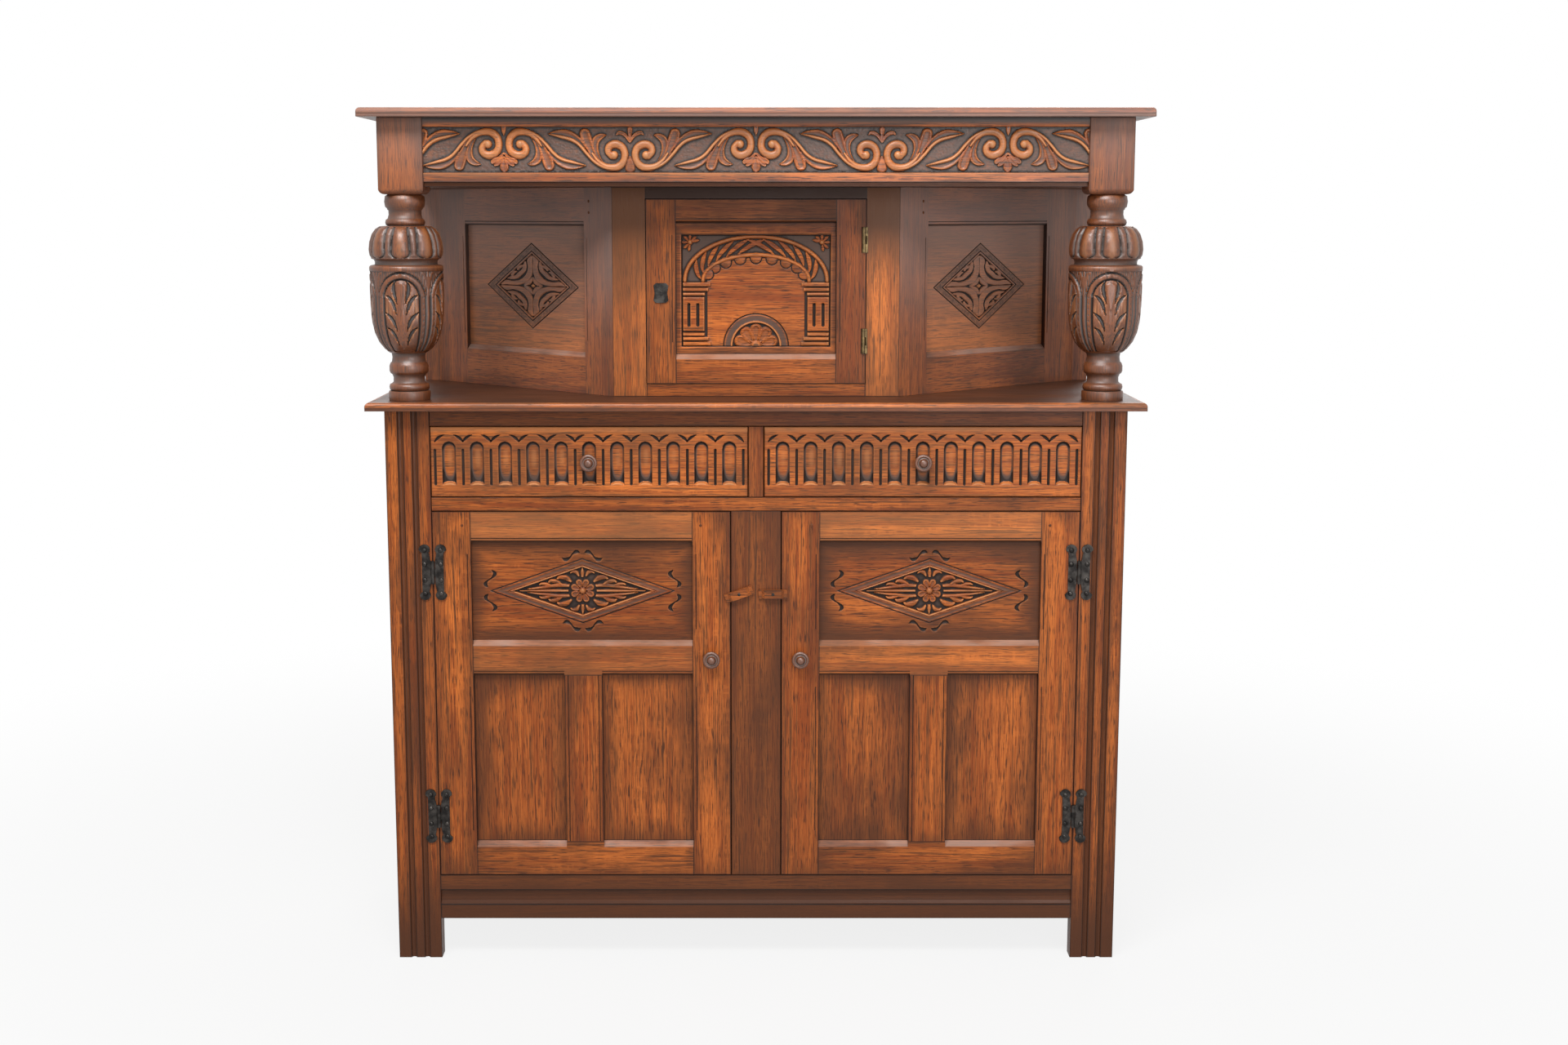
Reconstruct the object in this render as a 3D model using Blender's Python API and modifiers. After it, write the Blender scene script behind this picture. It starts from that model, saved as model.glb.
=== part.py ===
"""Oak court cupboard in the Jacobean manner.

A two-door lower case with two drawers carries a recessed upper cupboard with canted wings, under a
canopy that stands on two gadrooned cup-and-cover posts. Metres, Z up, front towards -Y, origin on the
floor under the middle of the piece.
"""

from math import atan2, cos, hypot, pi, radians, sin, tan

import bmesh
import bpy
from mathutils import Matrix, Vector

# Overall sizes
WIDTH = 1.220
DEPTH = 0.457
TABLE_HEIGHT = 0.914
CANOPY_HEIGHT = 0.452
BOARD_OVERHANG = 0.026

# Clearances and small edges
GAP = 0.0003
RUNNING_GAP = 0.001
ARRIS = 0.001
WELD = 0.00001

# Lower case
TABLE_THICKNESS = 0.013
TOP_RAIL_HEIGHT = 0.026
DRAWER_OPENING = 0.113
DRAWER_RAIL_HEIGHT = 0.022
BOTTOM_RAIL_HEIGHT = 0.0735
FOOT_HEIGHT = 0.067
STILE_WIDTH = 0.070
CENTRE_STILE_WIDTH = 0.080
DIVIDER_WIDTH = 0.024
FRAME_THICKNESS = 0.028
REAR_STILE = 0.032
SIDE_THICKNESS = 0.020
SIDE_RECESS = 0.008
SIDE_RAIL = 0.070
BACK_THICKNESS = 0.012
FLOOR_THICKNESS = 0.012
DECK_THICKNESS = 0.012
GUIDE_WIDTH = 0.020
GUIDE_HEIGHT = 0.026
BOARD_NOSE = 0.006
STILE_HOLLOW = 0.0085
STILE_BEAD = 0.0135
HOLLOW_DEPTH = 0.004
RAIL_BAND = 0.025
RAIL_HOLLOW = 0.025
RAIL_HOLLOW_DEPTH = 0.005

# Drawers
DRAWER_FRONT_THICKNESS = 0.020
DRAWER_BOX_LENGTH = 0.340
DRAWER_BOX_HEIGHT = 0.096
DRAWER_WALL = 0.010
DRAWER_BOTTOM = 0.006
FLUTE_PITCH = 0.0442
FLUTE_WIDTH = 0.022
FLUTE_DEPTH = 0.005
FLUTE_FOOT = 0.018
FLUTE_HEIGHT = 0.069
FLUTE_POINTS = 5

# Lower doors
DOOR_THICKNESS = 0.024
DOOR_STILE = 0.060
DOOR_TOP_RAIL = 0.049
DOOR_UPPER_OPENING = 0.160
DOOR_MID_RAIL = 0.056
DOOR_BOTTOM_RAIL = 0.055
DOOR_MUNTIN = 0.060
PANEL_THICKNESS = 0.010
PANEL_SET = 0.009
PANEL_TONGUE = 0.006

# Edges of the framed openings: sloping sill, chamfered head, quirk lines beside them
SILL_SLOPE = 0.009
HEAD_CHAMFER = 0.0035
QUIRK_WIDTH = 0.0016
QUIRK_DEPTH = 0.0014
QUIRK_FROM_EDGE = 0.0055
QUIRK_STOP = 0.019

# Diamond on the upper panels of the lower doors
DIAMOND_SIDE_MARGIN = 0.0314
DIAMOND_TOP_MARGIN = 0.0287
DIAMOND_BAND = 0.0105
DIAMOND_RISE = 0.0022
ROSETTE_RADIUS = 0.0195
ROSETTE_PETALS = 8
PETAL_DEPTH = 0.003
PETAL_POINTS = 4

# Knobs
KNOB_RADIUS = 0.014
KNOB_LENGTH = 0.024
KNOB_NECK = 0.0075
KNOB_FOOT = 0.003
KNOB_BALL = 0.006
DOOR_KNOB_FROM_EDGE = 0.030
KNOB_STEPS = 14

# Turn buttons
BUTTON_LENGTH = 0.046
BUTTON_HEIGHT = 0.014
BUTTON_THICKNESS = 0.008
BUTTON_FROM_CENTRE = 0.027
BUTTON_Z = 0.607
BUTTON_END_SLOPE = 0.005
LEFT_BUTTON_TILT = 20.0

# Iron hinges of the lower doors
STRAP_HEIGHT = 0.090
STRAP_WIDTH = 0.018
STRAP_THICKNESS = 0.0022
STRAP_KNUCKLE = 0.0032
STRAP_KNUCKLE_HEIGHT = 0.037
STRAP_LOBE = 0.0045
UPPER_STRAP_FROM_TOP = 0.097
LOWER_STRAP_FROM_BOTTOM = 0.099
PIN_RADIUS = 0.0014
KNUCKLE_SIDES = 12

# Upper cupboard
SURROUND_WIDTH = 0.459
SURROUND_SETBACK = 0.086
SURROUND_THICKNESS = 0.022
SURROUND_SILL = 0.020
SURROUND_HEAD = 0.018
SURROUND_STILE = 0.053
UPPER_DOOR_STILE = 0.047
UPPER_DOOR_TOP_RAIL = 0.037
UPPER_DOOR_BOTTOM_RAIL = 0.047
UPPER_DOOR_THICKNESS = 0.020
UPPER_PANEL_THICKNESS = 0.008
UPPER_PANEL_SET = 0.008
WING_THICKNESS = 0.020
WING_INNER_STILE = 0.067
WING_OUTER_STILE = 0.079
WING_SILL = 0.068
WING_HEAD = 0.061
REAR_POST_WIDTH = 0.026
REAR_POST_DEPTH = 0.031

# Lozenge on the wings: a sunk field round a leaf star
LOZENGE_FROM_STILE = 0.0253
LOZENGE_WIDTH = 0.2324
LOZENGE_HEIGHT = 0.1412
LOZENGE_BORDER = 0.0133
LOZENGE_SINK = 0.003
STAR_TIP_INSET = 0.018
STAR_WAIST = 0.0256

# Carving of the upper door's panel: an arch on pilasters over a half flower
CARVED_SINK = 0.003
FIELD_SIDE_MARGIN = 0.010
FIELD_BASE_MARGIN = 0.012
FIELD_TOP_MARGIN = 0.019
ARCH_RISE = 0.073
ARCH_BAND = 0.0067
LEAF_BAND = 0.022
ARCH_STEPS = 12
PILASTER_FLUTE_WIDTH = 0.0052
PILASTER_FLUTE_PITCH = 0.0142
PILASTER_FLUTE_HEIGHT = 0.037
LUNETTE_RADIUS = 0.052
LUNETTE_RING = 0.014
LUNETTE_BOSS = 0.008

# Butt hinges of the upper door
BUTT_HEIGHT = 0.040
BUTT_KNUCKLE = 0.003
BUTT_LEAF = 0.0014
BUTT_DEPTH = 0.014
BUTT_FROM_TOP = 0.064
BUTT_FROM_BOTTOM = 0.068
BUTT_PROUD = 0.001

# Lock of the upper door
BOLT_LENGTH = 0.026
BOLT_HEIGHT = 0.012
BOLT_THICKNESS = 0.006
BOLT_THROW = 0.008
LOCK_FROM_BOTTOM = 0.145
LOCK_FROM_EDGE = 0.0235
ESCUTCHEON_WIDTH = 0.024
ESCUTCHEON_HEIGHT = 0.0315
ESCUTCHEON_THICKNESS = 0.0015
ESCUTCHEON_EAR = 0.004
KEYHOLE_RADIUS = 0.0026
KEYHOLE_SLOT = 0.0014
KEYHOLE_LENGTH = 0.008

# Canopy
CORNICE_THICKNESS = 0.014
FRIEZE_HEIGHT = 0.098
FRIEZE_THICKNESS = 0.022
FRIEZE_SET = 0.003
FRIEZE_TOP_BAND = 0.0135
FRIEZE_BOTTOM_BAND = 0.0138
FRIEZE_RECESS = 0.005
SOFFIT_THICKNESS = 0.007
SOFFIT_SET = 0.009
BLOCK_DROP = 0.019
BLOCK_ROUND = 0.009

# Turned posts, from the block down: radii and heights of the mouldings
POST_COLLAR_RADIUS = 0.0315
POST_COLLAR_HEIGHT = 0.021
POST_NECK_RADIUS = 0.0265
POST_NECK_HEIGHT = 0.018
POST_ASTRAGAL_RADIUS = 0.030
POST_ASTRAGAL_HEIGHT = 0.008
COVER_RADIUS = 0.0585
COVER_HEIGHT = 0.052
WAIST_RADIUS = 0.049
WAIST_HEIGHT = 0.010
CUP_RADIUS = 0.0575
CUP_TAPER_HEIGHT = 0.052
STEM_RADIUS = 0.0265
STEM_HEIGHT = 0.015
STEM_RING_RADIUS = 0.0300
STEM_RING_HEIGHT = 0.018
FOOT_NECK_RADIUS = 0.0245
FOOT_NECK_HEIGHT = 0.014
FOOT_TORUS_RADIUS = 0.0305
FOOT_TORUS_HEIGHT = 0.012
BASE_RADIUS = 0.0330
BASE_HEIGHT = 0.013
GADROON_COUNT = 8
GADROON_RADIUS = 0.0165
GADROON_NECK = 0.007
GADROON_RISE = 0.0065
GADROON_FOOT = 0.004
POST_STEPS = 24

# Planes and places worked out from the sizes above
CASE_HALF = WIDTH / 2 - BOARD_OVERHANG
FRONT_Y = -DEPTH / 2 + BOARD_OVERHANG
BACK_Y = DEPTH / 2
STILE_INNER_X = CASE_HALF - STILE_WIDTH
FRAME_BACK_Y = FRONT_Y + FRAME_THICKNESS
BACK_BOARD_Y = BACK_Y - BACK_THICKNESS
TABLE_UNDER_Z = TABLE_HEIGHT - TABLE_THICKNESS
DRAWER_TOP_Z = TABLE_UNDER_Z - TOP_RAIL_HEIGHT
DRAWER_BOTTOM_Z = DRAWER_TOP_Z - DRAWER_OPENING
DOOR_TOP_Z = DRAWER_BOTTOM_Z - DRAWER_RAIL_HEIGHT
DOOR_BOTTOM_Z = FOOT_HEIGHT + BOTTOM_RAIL_HEIGHT
CORNICE_TOP_Z = TABLE_HEIGHT + CANOPY_HEIGHT
CORNICE_UNDER_Z = CORNICE_TOP_Z - CORNICE_THICKNESS
FRIEZE_BOTTOM_Z = CORNICE_UNDER_Z - FRIEZE_HEIGHT
SOFFIT_UNDER_Z = FRIEZE_BOTTOM_Z - SOFFIT_THICKNESS
BLOCK_BOTTOM_Z = FRIEZE_BOTTOM_Z - BLOCK_DROP
BLOCK_BACK_Y = FRONT_Y + STILE_WIDTH
SURROUND_Y = FRONT_Y + SURROUND_SETBACK
SURROUND_HALF = SURROUND_WIDTH / 2
UPPER_HALF = SURROUND_HALF - SURROUND_STILE
UPPER_BOTTOM_Z = TABLE_HEIGHT + SURROUND_SILL
UPPER_TOP_Z = SOFFIT_UNDER_Z - SURROUND_HEAD
WING_REAR_X = CASE_HALF - REAR_POST_WIDTH
WING_REAR_Y = BACK_Y - REAR_POST_DEPTH
WING_LENGTH = hypot(WING_REAR_X - SURROUND_HALF, WING_REAR_Y - SURROUND_Y)
WING_ANGLE = atan2(WING_REAR_Y - SURROUND_Y, WING_REAR_X - SURROUND_HALF)
REAR_POST_INNER_X = WING_REAR_X - WING_THICKNESS * sin(WING_ANGLE)
CUTTER_REACH = 0.010

SIDES = (("left", -1), ("right", 1))

# Turns a flat outline drawn in local XY to stand upright, its local Z facing the front
STANDING = Matrix.Rotation(pi / 2, 4, "X")
# Sends local X, Y, Z to world Y, Z, X, for mouldings that run from side to side
CROSSWISE = Matrix(((0, 0, 1, 0), (1, 0, 0, 0), (0, 1, 0, 0), (0, 0, 0, 1)))
# Sends local X, Y, Z to a face's outward, upward and crosswise axes, for wedges along its edges
EDGEWISE = Matrix(((0, 0, 1, 0), (0, 1, 0, 0), (1, 0, 0, 0), (0, 0, 0, 1)))


def clear_scene():
    for obj in list(bpy.data.objects):
        bpy.data.objects.remove(obj)


def new_collection(name):
    collection = bpy.data.collections.new(name)
    bpy.context.scene.collection.children.link(collection)
    return collection


def new_material(name, colour, roughness, metallic=0.0):
    material = bpy.data.materials.new(name)
    material.use_nodes = True
    shader = material.node_tree.nodes["Principled BSDF"]
    shader.inputs["Base Color"].default_value = (*colour, 1.0)
    shader.inputs["Roughness"].default_value = roughness
    shader.inputs["Metallic"].default_value = metallic
    return material


clear_scene()
PARTS = new_collection("Court cupboard")
CUTTERS = new_collection("Cutters")
OAK = new_material("Polished oak", (0.26, 0.11, 0.05), 0.35)
DARK_OAK = new_material("Shaded oak", (0.16, 0.075, 0.04), 0.45)
PANEL_OAK = new_material("Carved panel oak", (0.33, 0.15, 0.07), 0.4)
INNER_OAK = new_material("Unpolished oak", (0.36, 0.23, 0.13), 0.7)
IRON = new_material("Black iron", (0.02, 0.02, 0.022), 0.5, 1.0)
BRASS = new_material("Aged brass", (0.30, 0.21, 0.09), 0.4, 1.0)
STEEL = new_material("Lock steel", (0.35, 0.34, 0.32), 0.4, 1.0)


def add_part(name, mesh, material, matrix=Matrix()):
    mesh.materials.clear()
    mesh.materials.append(material)
    part = bpy.data.objects.new(name, mesh)
    part.matrix_world = matrix
    PARTS.objects.link(part)
    return part


def add_cutter(mesh, matrix=Matrix()):
    cutter = bpy.data.objects.new("cutter", mesh)
    cutter.matrix_world = matrix
    cutter.hide_render = True
    cutter.display_type = "WIRE"
    CUTTERS.objects.link(cutter)
    return cutter


def boolean(part, cutter, operation):
    modifier = part.modifiers.new(operation.lower(), "BOOLEAN")
    modifier.operation = operation
    modifier.solver = "EXACT"
    modifier.object = cutter


def cut(part, *cutters):
    for cutter in cutters:
        boolean(part, cutter, "DIFFERENCE")


def join(part, *pieces):
    for piece in pieces:
        boolean(part, piece, "UNION")


def bevel(part, width, segments=1, marked=False):
    modifier = part.modifiers.new("arris", "BEVEL")
    modifier.width = width
    modifier.segments = segments
    modifier.limit_method = "WEIGHT" if marked else "ANGLE"
    modifier.use_clamp_overlap = True


def smooth(mesh, angle=40.0):
    mesh.shade_smooth()
    mesh.set_sharp_from_angle(angle=radians(angle))


def mesh_from(bm, name="mesh"):
    mesh = bpy.data.meshes.new(name)
    bm.to_mesh(mesh)
    bm.free()
    return mesh


def box_mesh(size):
    bm = bmesh.new()
    bmesh.ops.create_cube(bm, size=1.0, matrix=Matrix.Diagonal((*size, 1.0)))
    return mesh_from(bm)


def span(x, y, z, grow):
    """Size and middle of the box between three pairs of planes, grown by the same amount on each face."""
    low = Vector((x[0], y[0], z[0])) - Vector((grow, grow, grow))
    high = Vector((x[1], y[1], z[1])) + Vector((grow, grow, grow))
    return high - low, (high + low) / 2


def board(name, x, y, z, material, fit=GAP / 2, arris=ARRIS):
    """Plain board between its planes, drawn in by half a gap so that it never touches its neighbours."""
    size, middle = span(x, y, z, -fit)
    part = add_part(name, box_mesh(size), material, Matrix.Translation(middle))
    if arris:
        bevel(part, arris)
    return part


def box_cutter(x, y, z, grow=0.0):
    size, middle = span(x, y, z, grow)
    return add_cutter(box_mesh(size), Matrix.Translation(middle))


def mesh_of_curve(curve):
    """Closed mesh of a curve, with its loose caps welded on."""
    holder = bpy.data.objects.new("holder", curve)
    bpy.context.scene.collection.objects.link(holder)
    depsgraph = bpy.context.evaluated_depsgraph_get()
    mesh = bpy.data.meshes.new_from_object(holder.evaluated_get(depsgraph))
    bpy.data.objects.remove(holder)
    bm = bmesh.new()
    bm.from_mesh(mesh)
    bmesh.ops.remove_doubles(bm, verts=bm.verts, dist=WELD)
    bmesh.ops.recalc_face_normals(bm, faces=bm.faces)
    bm.to_mesh(mesh)
    bm.free()
    return mesh


def flat_mesh(outlines, thickness):
    """Plate of the given thickness about local Z = 0; outlines after the first are openings."""
    curve = bpy.data.curves.new("outline", "CURVE")
    curve.dimensions = "2D"
    curve.fill_mode = "BOTH"
    curve.extrude = thickness / 2
    for points in outlines:
        spline = curve.splines.new("POLY")
        spline.points.add(len(points) - 1)
        for point, (x, y) in zip(spline.points, points):
            point.co = (x, y, 0.0, 1.0)
        spline.use_cyclic_u = True
    return mesh_of_curve(curve)


def tube_mesh(points, radius, widths=None, resolution=2):
    """Round bar through the points, with an optional relative width at each of them."""
    curve = bpy.data.curves.new("tube", "CURVE")
    curve.dimensions = "3D"
    curve.bevel_depth = radius
    curve.bevel_resolution = resolution
    curve.use_fill_caps = True
    spline = curve.splines.new("POLY")
    spline.points.add(len(points) - 1)
    for index, (point, place) in enumerate(zip(spline.points, points)):
        point.co = (*place, 1.0)
        point.radius = widths[index] if widths else 1.0
    return mesh_of_curve(curve)


def rod_mesh(radius, length, sides=KNUCKLE_SIDES):
    bm = bmesh.new()
    bmesh.ops.create_cone(
        bm, cap_ends=True, segments=sides, radius1=radius, radius2=radius, depth=length)
    return mesh_from(bm)


def rectangle(x0, x1, y0, y1):
    return [(x0, y0), (x1, y0), (x1, y1), (x0, y1)]


def arc(centre, radius, start, stop, steps):
    """Points on an arc; the radius may differ in X and Y, angles are in degrees."""
    rx, ry = radius if isinstance(radius, tuple) else (radius, radius)
    angles = [radians(start + (stop - start) * k / steps) for k in range(steps + 1)]
    return [(centre[0] + rx * cos(a), centre[1] + ry * sin(a)) for a in angles]


def standing_plate(name, outlines, front_y, thickness, material):
    """Plate drawn in X and Z whose front face lies at front_y."""
    place = Matrix.Translation((0.0, front_y + thickness / 2, 0.0)) @ STANDING
    return add_part(name, flat_mesh(outlines, thickness), material, place)


def prism(name, outline, z0, z1, material):
    """Upright solid with the given outline in plan."""
    place = Matrix.Translation((0.0, 0.0, (z0 + z1) / 2))
    return add_part(name, flat_mesh([outline], z1 - z0), material, place)


def face_matrix(face_y):
    """Frame of a front face: X across it, Y up, Z out towards the front."""
    return Matrix.Translation((0.0, face_y, 0.0)) @ STANDING


def placed(mesh, matrix):
    """Mesh moved to its place; a mirrored place turns the faces the right way out again."""
    mesh.transform(matrix)
    if matrix.determinant() < 0:
        mesh.flip_normals()
    return mesh


def plate_on_face(face, outlines, sink, rise=0.0):
    """Plate drawn on a face, reaching sink behind it and rise in front; a cutter or a piece to join."""
    lift = Matrix.Translation((0.0, 0.0, (rise - sink) / 2))
    return add_cutter(placed(flat_mesh(outlines, sink + rise), face @ lift))


def turned_mesh_part(name, profile, material, matrix, steps):
    """Solid of revolution about local Z; the profile runs from the top down its outer side."""
    bm = bmesh.new()
    points = [bm.verts.new((radius, 0.0, height)) for radius, height in profile]
    for upper, lower in zip(points, points[1:]):
        bm.edges.new((upper, lower))
    part = add_part(name, mesh_from(bm), material, matrix)
    screw = part.modifiers.new("turning", "SCREW")
    screw.axis = "Z"
    screw.steps = steps
    screw.render_steps = steps
    screw.use_merge_vertices = True
    screw.merge_threshold = WELD
    return part


def pivot(name, place, *parts):
    """Empty on a joint's axis that carries the pieces which move about it."""
    empty = bpy.data.objects.new(name, None)
    empty.location = place
    PARTS.objects.link(empty)
    for part in parts:
        part.parent = empty
        part.matrix_parent_inverse = Matrix.Translation(place).inverted()
    return empty


# Boards

def nosed_board(name, z0, z1, material):
    """Top board of full size, with its upper edge rounded over at the front and the ends."""
    size, middle = span((-WIDTH / 2, WIDTH / 2), (-DEPTH / 2, BACK_Y), (z0, z1), 0.0)
    part = add_part(name, box_mesh(size), material, Matrix.Translation(middle))
    weights = part.data.attributes.new("bevel_weight_edge", "FLOAT", "EDGE")
    for edge in part.data.edges:
        a, b = (part.data.vertices[k].co for k in edge.vertices)
        on_top = a.z > 0 and b.z > 0
        at_back = a.y > 0 and b.y > 0
        weights.data[edge.index].value = 1.0 if on_top and not at_back else 0.0
    bevel(part, BOARD_NOSE, segments=4, marked=True)
    return part


def make_boards():
    nosed_board("main_board", TABLE_UNDER_Z, TABLE_HEIGHT, OAK)
    nosed_board("cornice_board", CORNICE_UNDER_Z, CORNICE_TOP_Z, OAK)


# Lower case

def hollow(centre, width, depth, face, steps=4):
    """Points of a shallow hollow worked into a face, from low to high."""
    return [(centre + width / 2 * -cos(pi * k / steps), face + depth * sin(pi * k / steps))
            for k in range(steps + 1)]


def make_front_stiles():
    """Corner stiles that run to the floor, each with two hollows beside a middle bead."""
    middle = (STILE_INNER_X + CASE_HALF) / 2
    offset = (STILE_BEAD + STILE_HOLLOW) / 2
    inner, outer = STILE_INNER_X + GAP / 2, CASE_HALF
    outline = [(inner, FRONT_Y)]
    outline += hollow(middle - offset, STILE_HOLLOW, HOLLOW_DEPTH, FRONT_Y)
    outline += hollow(middle + offset, STILE_HOLLOW, HOLLOW_DEPTH, FRONT_Y)
    outline += [(outer, FRONT_Y), (outer, FRAME_BACK_Y - GAP / 2), (inner, FRAME_BACK_Y - GAP / 2)]
    for side, sign in SIDES:
        mirrored = [(sign * x, y) for x, y in outline]
        prism(f"front_stile_{side}", mirrored, 0.0, TABLE_UNDER_Z - GAP, OAK)


def make_rear_stiles():
    for side, sign in SIDES:
        x = sorted((sign * (CASE_HALF - REAR_STILE), sign * CASE_HALF))
        y = (BACK_Y - REAR_STILE, BACK_Y)
        board(f"rear_stile_{side}", x, y, (-GAP / 2, TABLE_UNDER_Z - GAP / 2), DARK_OAK)


def make_front_rails():
    across = (-STILE_INNER_X, STILE_INNER_X)
    deep = (FRONT_Y, FRAME_BACK_Y)
    board("top_rail", across, deep, (DRAWER_TOP_Z, TABLE_UNDER_Z), OAK)
    board("drawer_rail", across, deep, (DOOR_TOP_Z, DRAWER_BOTTOM_Z), OAK)
    board("centre_stile", (-CENTRE_STILE_WIDTH / 2, CENTRE_STILE_WIDTH / 2), deep,
          (DOOR_BOTTOM_Z, DOOR_TOP_Z), OAK)
    board("drawer_divider", (-DIVIDER_WIDTH / 2, DIVIDER_WIDTH / 2), (FRONT_Y, BACK_BOARD_Y),
          (DRAWER_BOTTOM_Z, DRAWER_TOP_Z), OAK)


def make_bottom_rail():
    """Bottom rail with a hollow moulding between two flat bands."""
    low, high = FOOT_HEIGHT, DOOR_BOTTOM_Z - GAP / 2
    moulding = [(y, z) for z, y in hollow(
        high - RAIL_BAND - RAIL_HOLLOW / 2, RAIL_HOLLOW, RAIL_HOLLOW_DEPTH, FRONT_Y, steps=6)]
    outline = [(FRONT_Y, low)] + moulding + [(FRONT_Y, high)]
    outline += [(FRAME_BACK_Y - GAP / 2, high), (FRAME_BACK_Y - GAP / 2, low)]
    length = 2 * STILE_INNER_X - GAP
    add_part("bottom_rail", flat_mesh([outline], length), OAK, CROSSWISE)


def make_sides():
    """Framed ends with two sunk panels, between the front and the rear stiles."""
    y = (FRAME_BACK_Y, BACK_Y - REAR_STILE)
    fields = ((FOOT_HEIGHT + SIDE_RAIL, DOOR_TOP_Z - SIDE_RAIL / 2),
              (DOOR_TOP_Z + SIDE_RAIL / 2, TABLE_UNDER_Z - SIDE_RAIL / 2))
    field_y = (y[0] + SIDE_RAIL / 2, y[1] - SIDE_RAIL / 2)
    for side, sign in SIDES:
        x = sorted((sign * (CASE_HALF - SIDE_THICKNESS), sign * CASE_HALF))
        part = board(f"side_{side}", x, y, (FOOT_HEIGHT, TABLE_UNDER_Z), DARK_OAK)
        sunk = sorted((sign * (CASE_HALF - SIDE_RECESS), sign * (CASE_HALF + CUTTER_REACH)))
        cut(part, *(box_cutter(sunk, field_y, z) for z in fields))


def make_case_inside():
    side_x = CASE_HALF - SIDE_THICKNESS
    deck_top = DRAWER_BOTTOM_Z
    across = (-side_x, side_x)
    deep = (FRAME_BACK_Y, BACK_Y - REAR_STILE)
    board("case_floor", across, deep, (DOOR_BOTTOM_Z - FLOOR_THICKNESS, DOOR_BOTTOM_Z), INNER_OAK)
    deck = board("drawer_deck", across, deep, (deck_top - DECK_THICKNESS, deck_top), INNER_OAK, arris=0)
    for _, sign in SIDES:
        x = sorted((sign * STILE_INNER_X, sign * (STILE_INNER_X + GUIDE_WIDTH)))
        z = (deck_top - DECK_THICKNESS / 2, deck_top + GUIDE_HEIGHT)
        join(deck, box_cutter(x, deep, z, -GAP / 2))
    back_x = CASE_HALF - REAR_STILE
    board("back_lower", (-back_x, back_x), (BACK_BOARD_Y, BACK_Y), (FOOT_HEIGHT, TABLE_UNDER_Z), INNER_OAK)


# Drawers and knobs

def knob(name, x, z, face_y):
    """Turned knob: a foot, a waisted neck, a rounded disc and a small ball in the middle."""
    disc = KNOB_LENGTH - KNOB_BALL
    profile = [(0.0, KNOB_LENGTH)]
    profile += arc((0.0, KNOB_LENGTH - KNOB_BALL), KNOB_BALL, 60, 20, 2)
    profile += [(KNOB_BALL, disc)]
    profile += arc((KNOB_RADIUS - KNOB_BALL / 2, disc - KNOB_BALL / 2), KNOB_BALL / 2, 90, -90, 4)
    profile += [(KNOB_NECK, KNOB_FOOT * 2), (KNOB_NECK + KNOB_FOOT, KNOB_FOOT), (KNOB_NECK + KNOB_FOOT, 0.0)]
    profile += [(0.0, 0.0)]
    place = Matrix.Translation((x, face_y - GAP, z)) @ STANDING
    return turned_mesh_part(name, profile, OAK, place, KNOB_STEPS)


def flute_cutters(x, z0):
    """Row of gouged flutes with round heads and sloping feet, as many as the drawer is wide."""
    count = int((x[1] - x[0]) / FLUTE_PITCH)
    middle_x = sum(x) / 2
    half = FLUTE_WIDTH / 2
    straight = FLUTE_HEIGHT - half
    heads = [(straight + half * sin(a), cos(a)) for a in
             (radians(90 * k / FLUTE_POINTS) for k in range(1, FLUTE_POINTS))]
    rises = [(0.0, 0.3), (FLUTE_DEPTH, 0.9), (FLUTE_DEPTH * 2, 1.0), (straight, 1.0)] + heads
    flat = Matrix.Diagonal((1.0, FLUTE_DEPTH / half, 1.0, 1.0))
    for k in range(count):
        place = Vector((middle_x + (k - (count - 1) / 2) * FLUTE_PITCH, FRONT_Y, z0))
        tube = tube_mesh([(0.0, 0.0, rise) for rise, _ in rises], half, [width for _, width in rises])
        yield add_cutter(tube, Matrix.Translation(place) @ flat)


def make_drawer(side, sign):
    inner, outer = DIVIDER_WIDTH / 2, STILE_INNER_X
    x = sorted((sign * inner, sign * outer))
    middle = sum(x) / 2
    front_back = FRONT_Y + DRAWER_FRONT_THICKNESS
    front_x = (x[0] + RUNNING_GAP, x[1] - RUNNING_GAP)
    front_z = (DRAWER_BOTTOM_Z + RUNNING_GAP, DRAWER_TOP_Z - RUNNING_GAP)
    front = board(f"drawer_{side}_front", front_x, (FRONT_Y, front_back - GAP), front_z, PANEL_OAK,
                  fit=0.0, arris=0)
    cut(front, *flute_cutters(x, DRAWER_BOTTOM_Z + FLUTE_FOOT))
    z = (DRAWER_BOTTOM_Z + RUNNING_GAP / 2, DRAWER_BOTTOM_Z + DRAWER_BOX_HEIGHT)
    box_x = (x[0] + RUNNING_GAP, x[1] - RUNNING_GAP)
    box_y = (front_back - GAP / 2, front_back + DRAWER_BOX_LENGTH)
    box = board(f"drawer_{side}_box", box_x, box_y, z, INNER_OAK, arris=0)
    cut(box, box_cutter((box_x[0] + DRAWER_WALL, box_x[1] - DRAWER_WALL),
                        (box_y[0] - CUTTER_REACH, box_y[1] - DRAWER_WALL),
                        (z[0] + DRAWER_BOTTOM, z[1] + CUTTER_REACH)))
    pull = knob(f"drawer_{side}_knob", middle, (DRAWER_BOTTOM_Z + DRAWER_TOP_Z) / 2, FRONT_Y)
    pivot(f"drawer_{side}_slide", (middle, FRONT_Y, DRAWER_BOTTOM_Z), front, box, pull)


# Edges of framed openings

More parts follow.
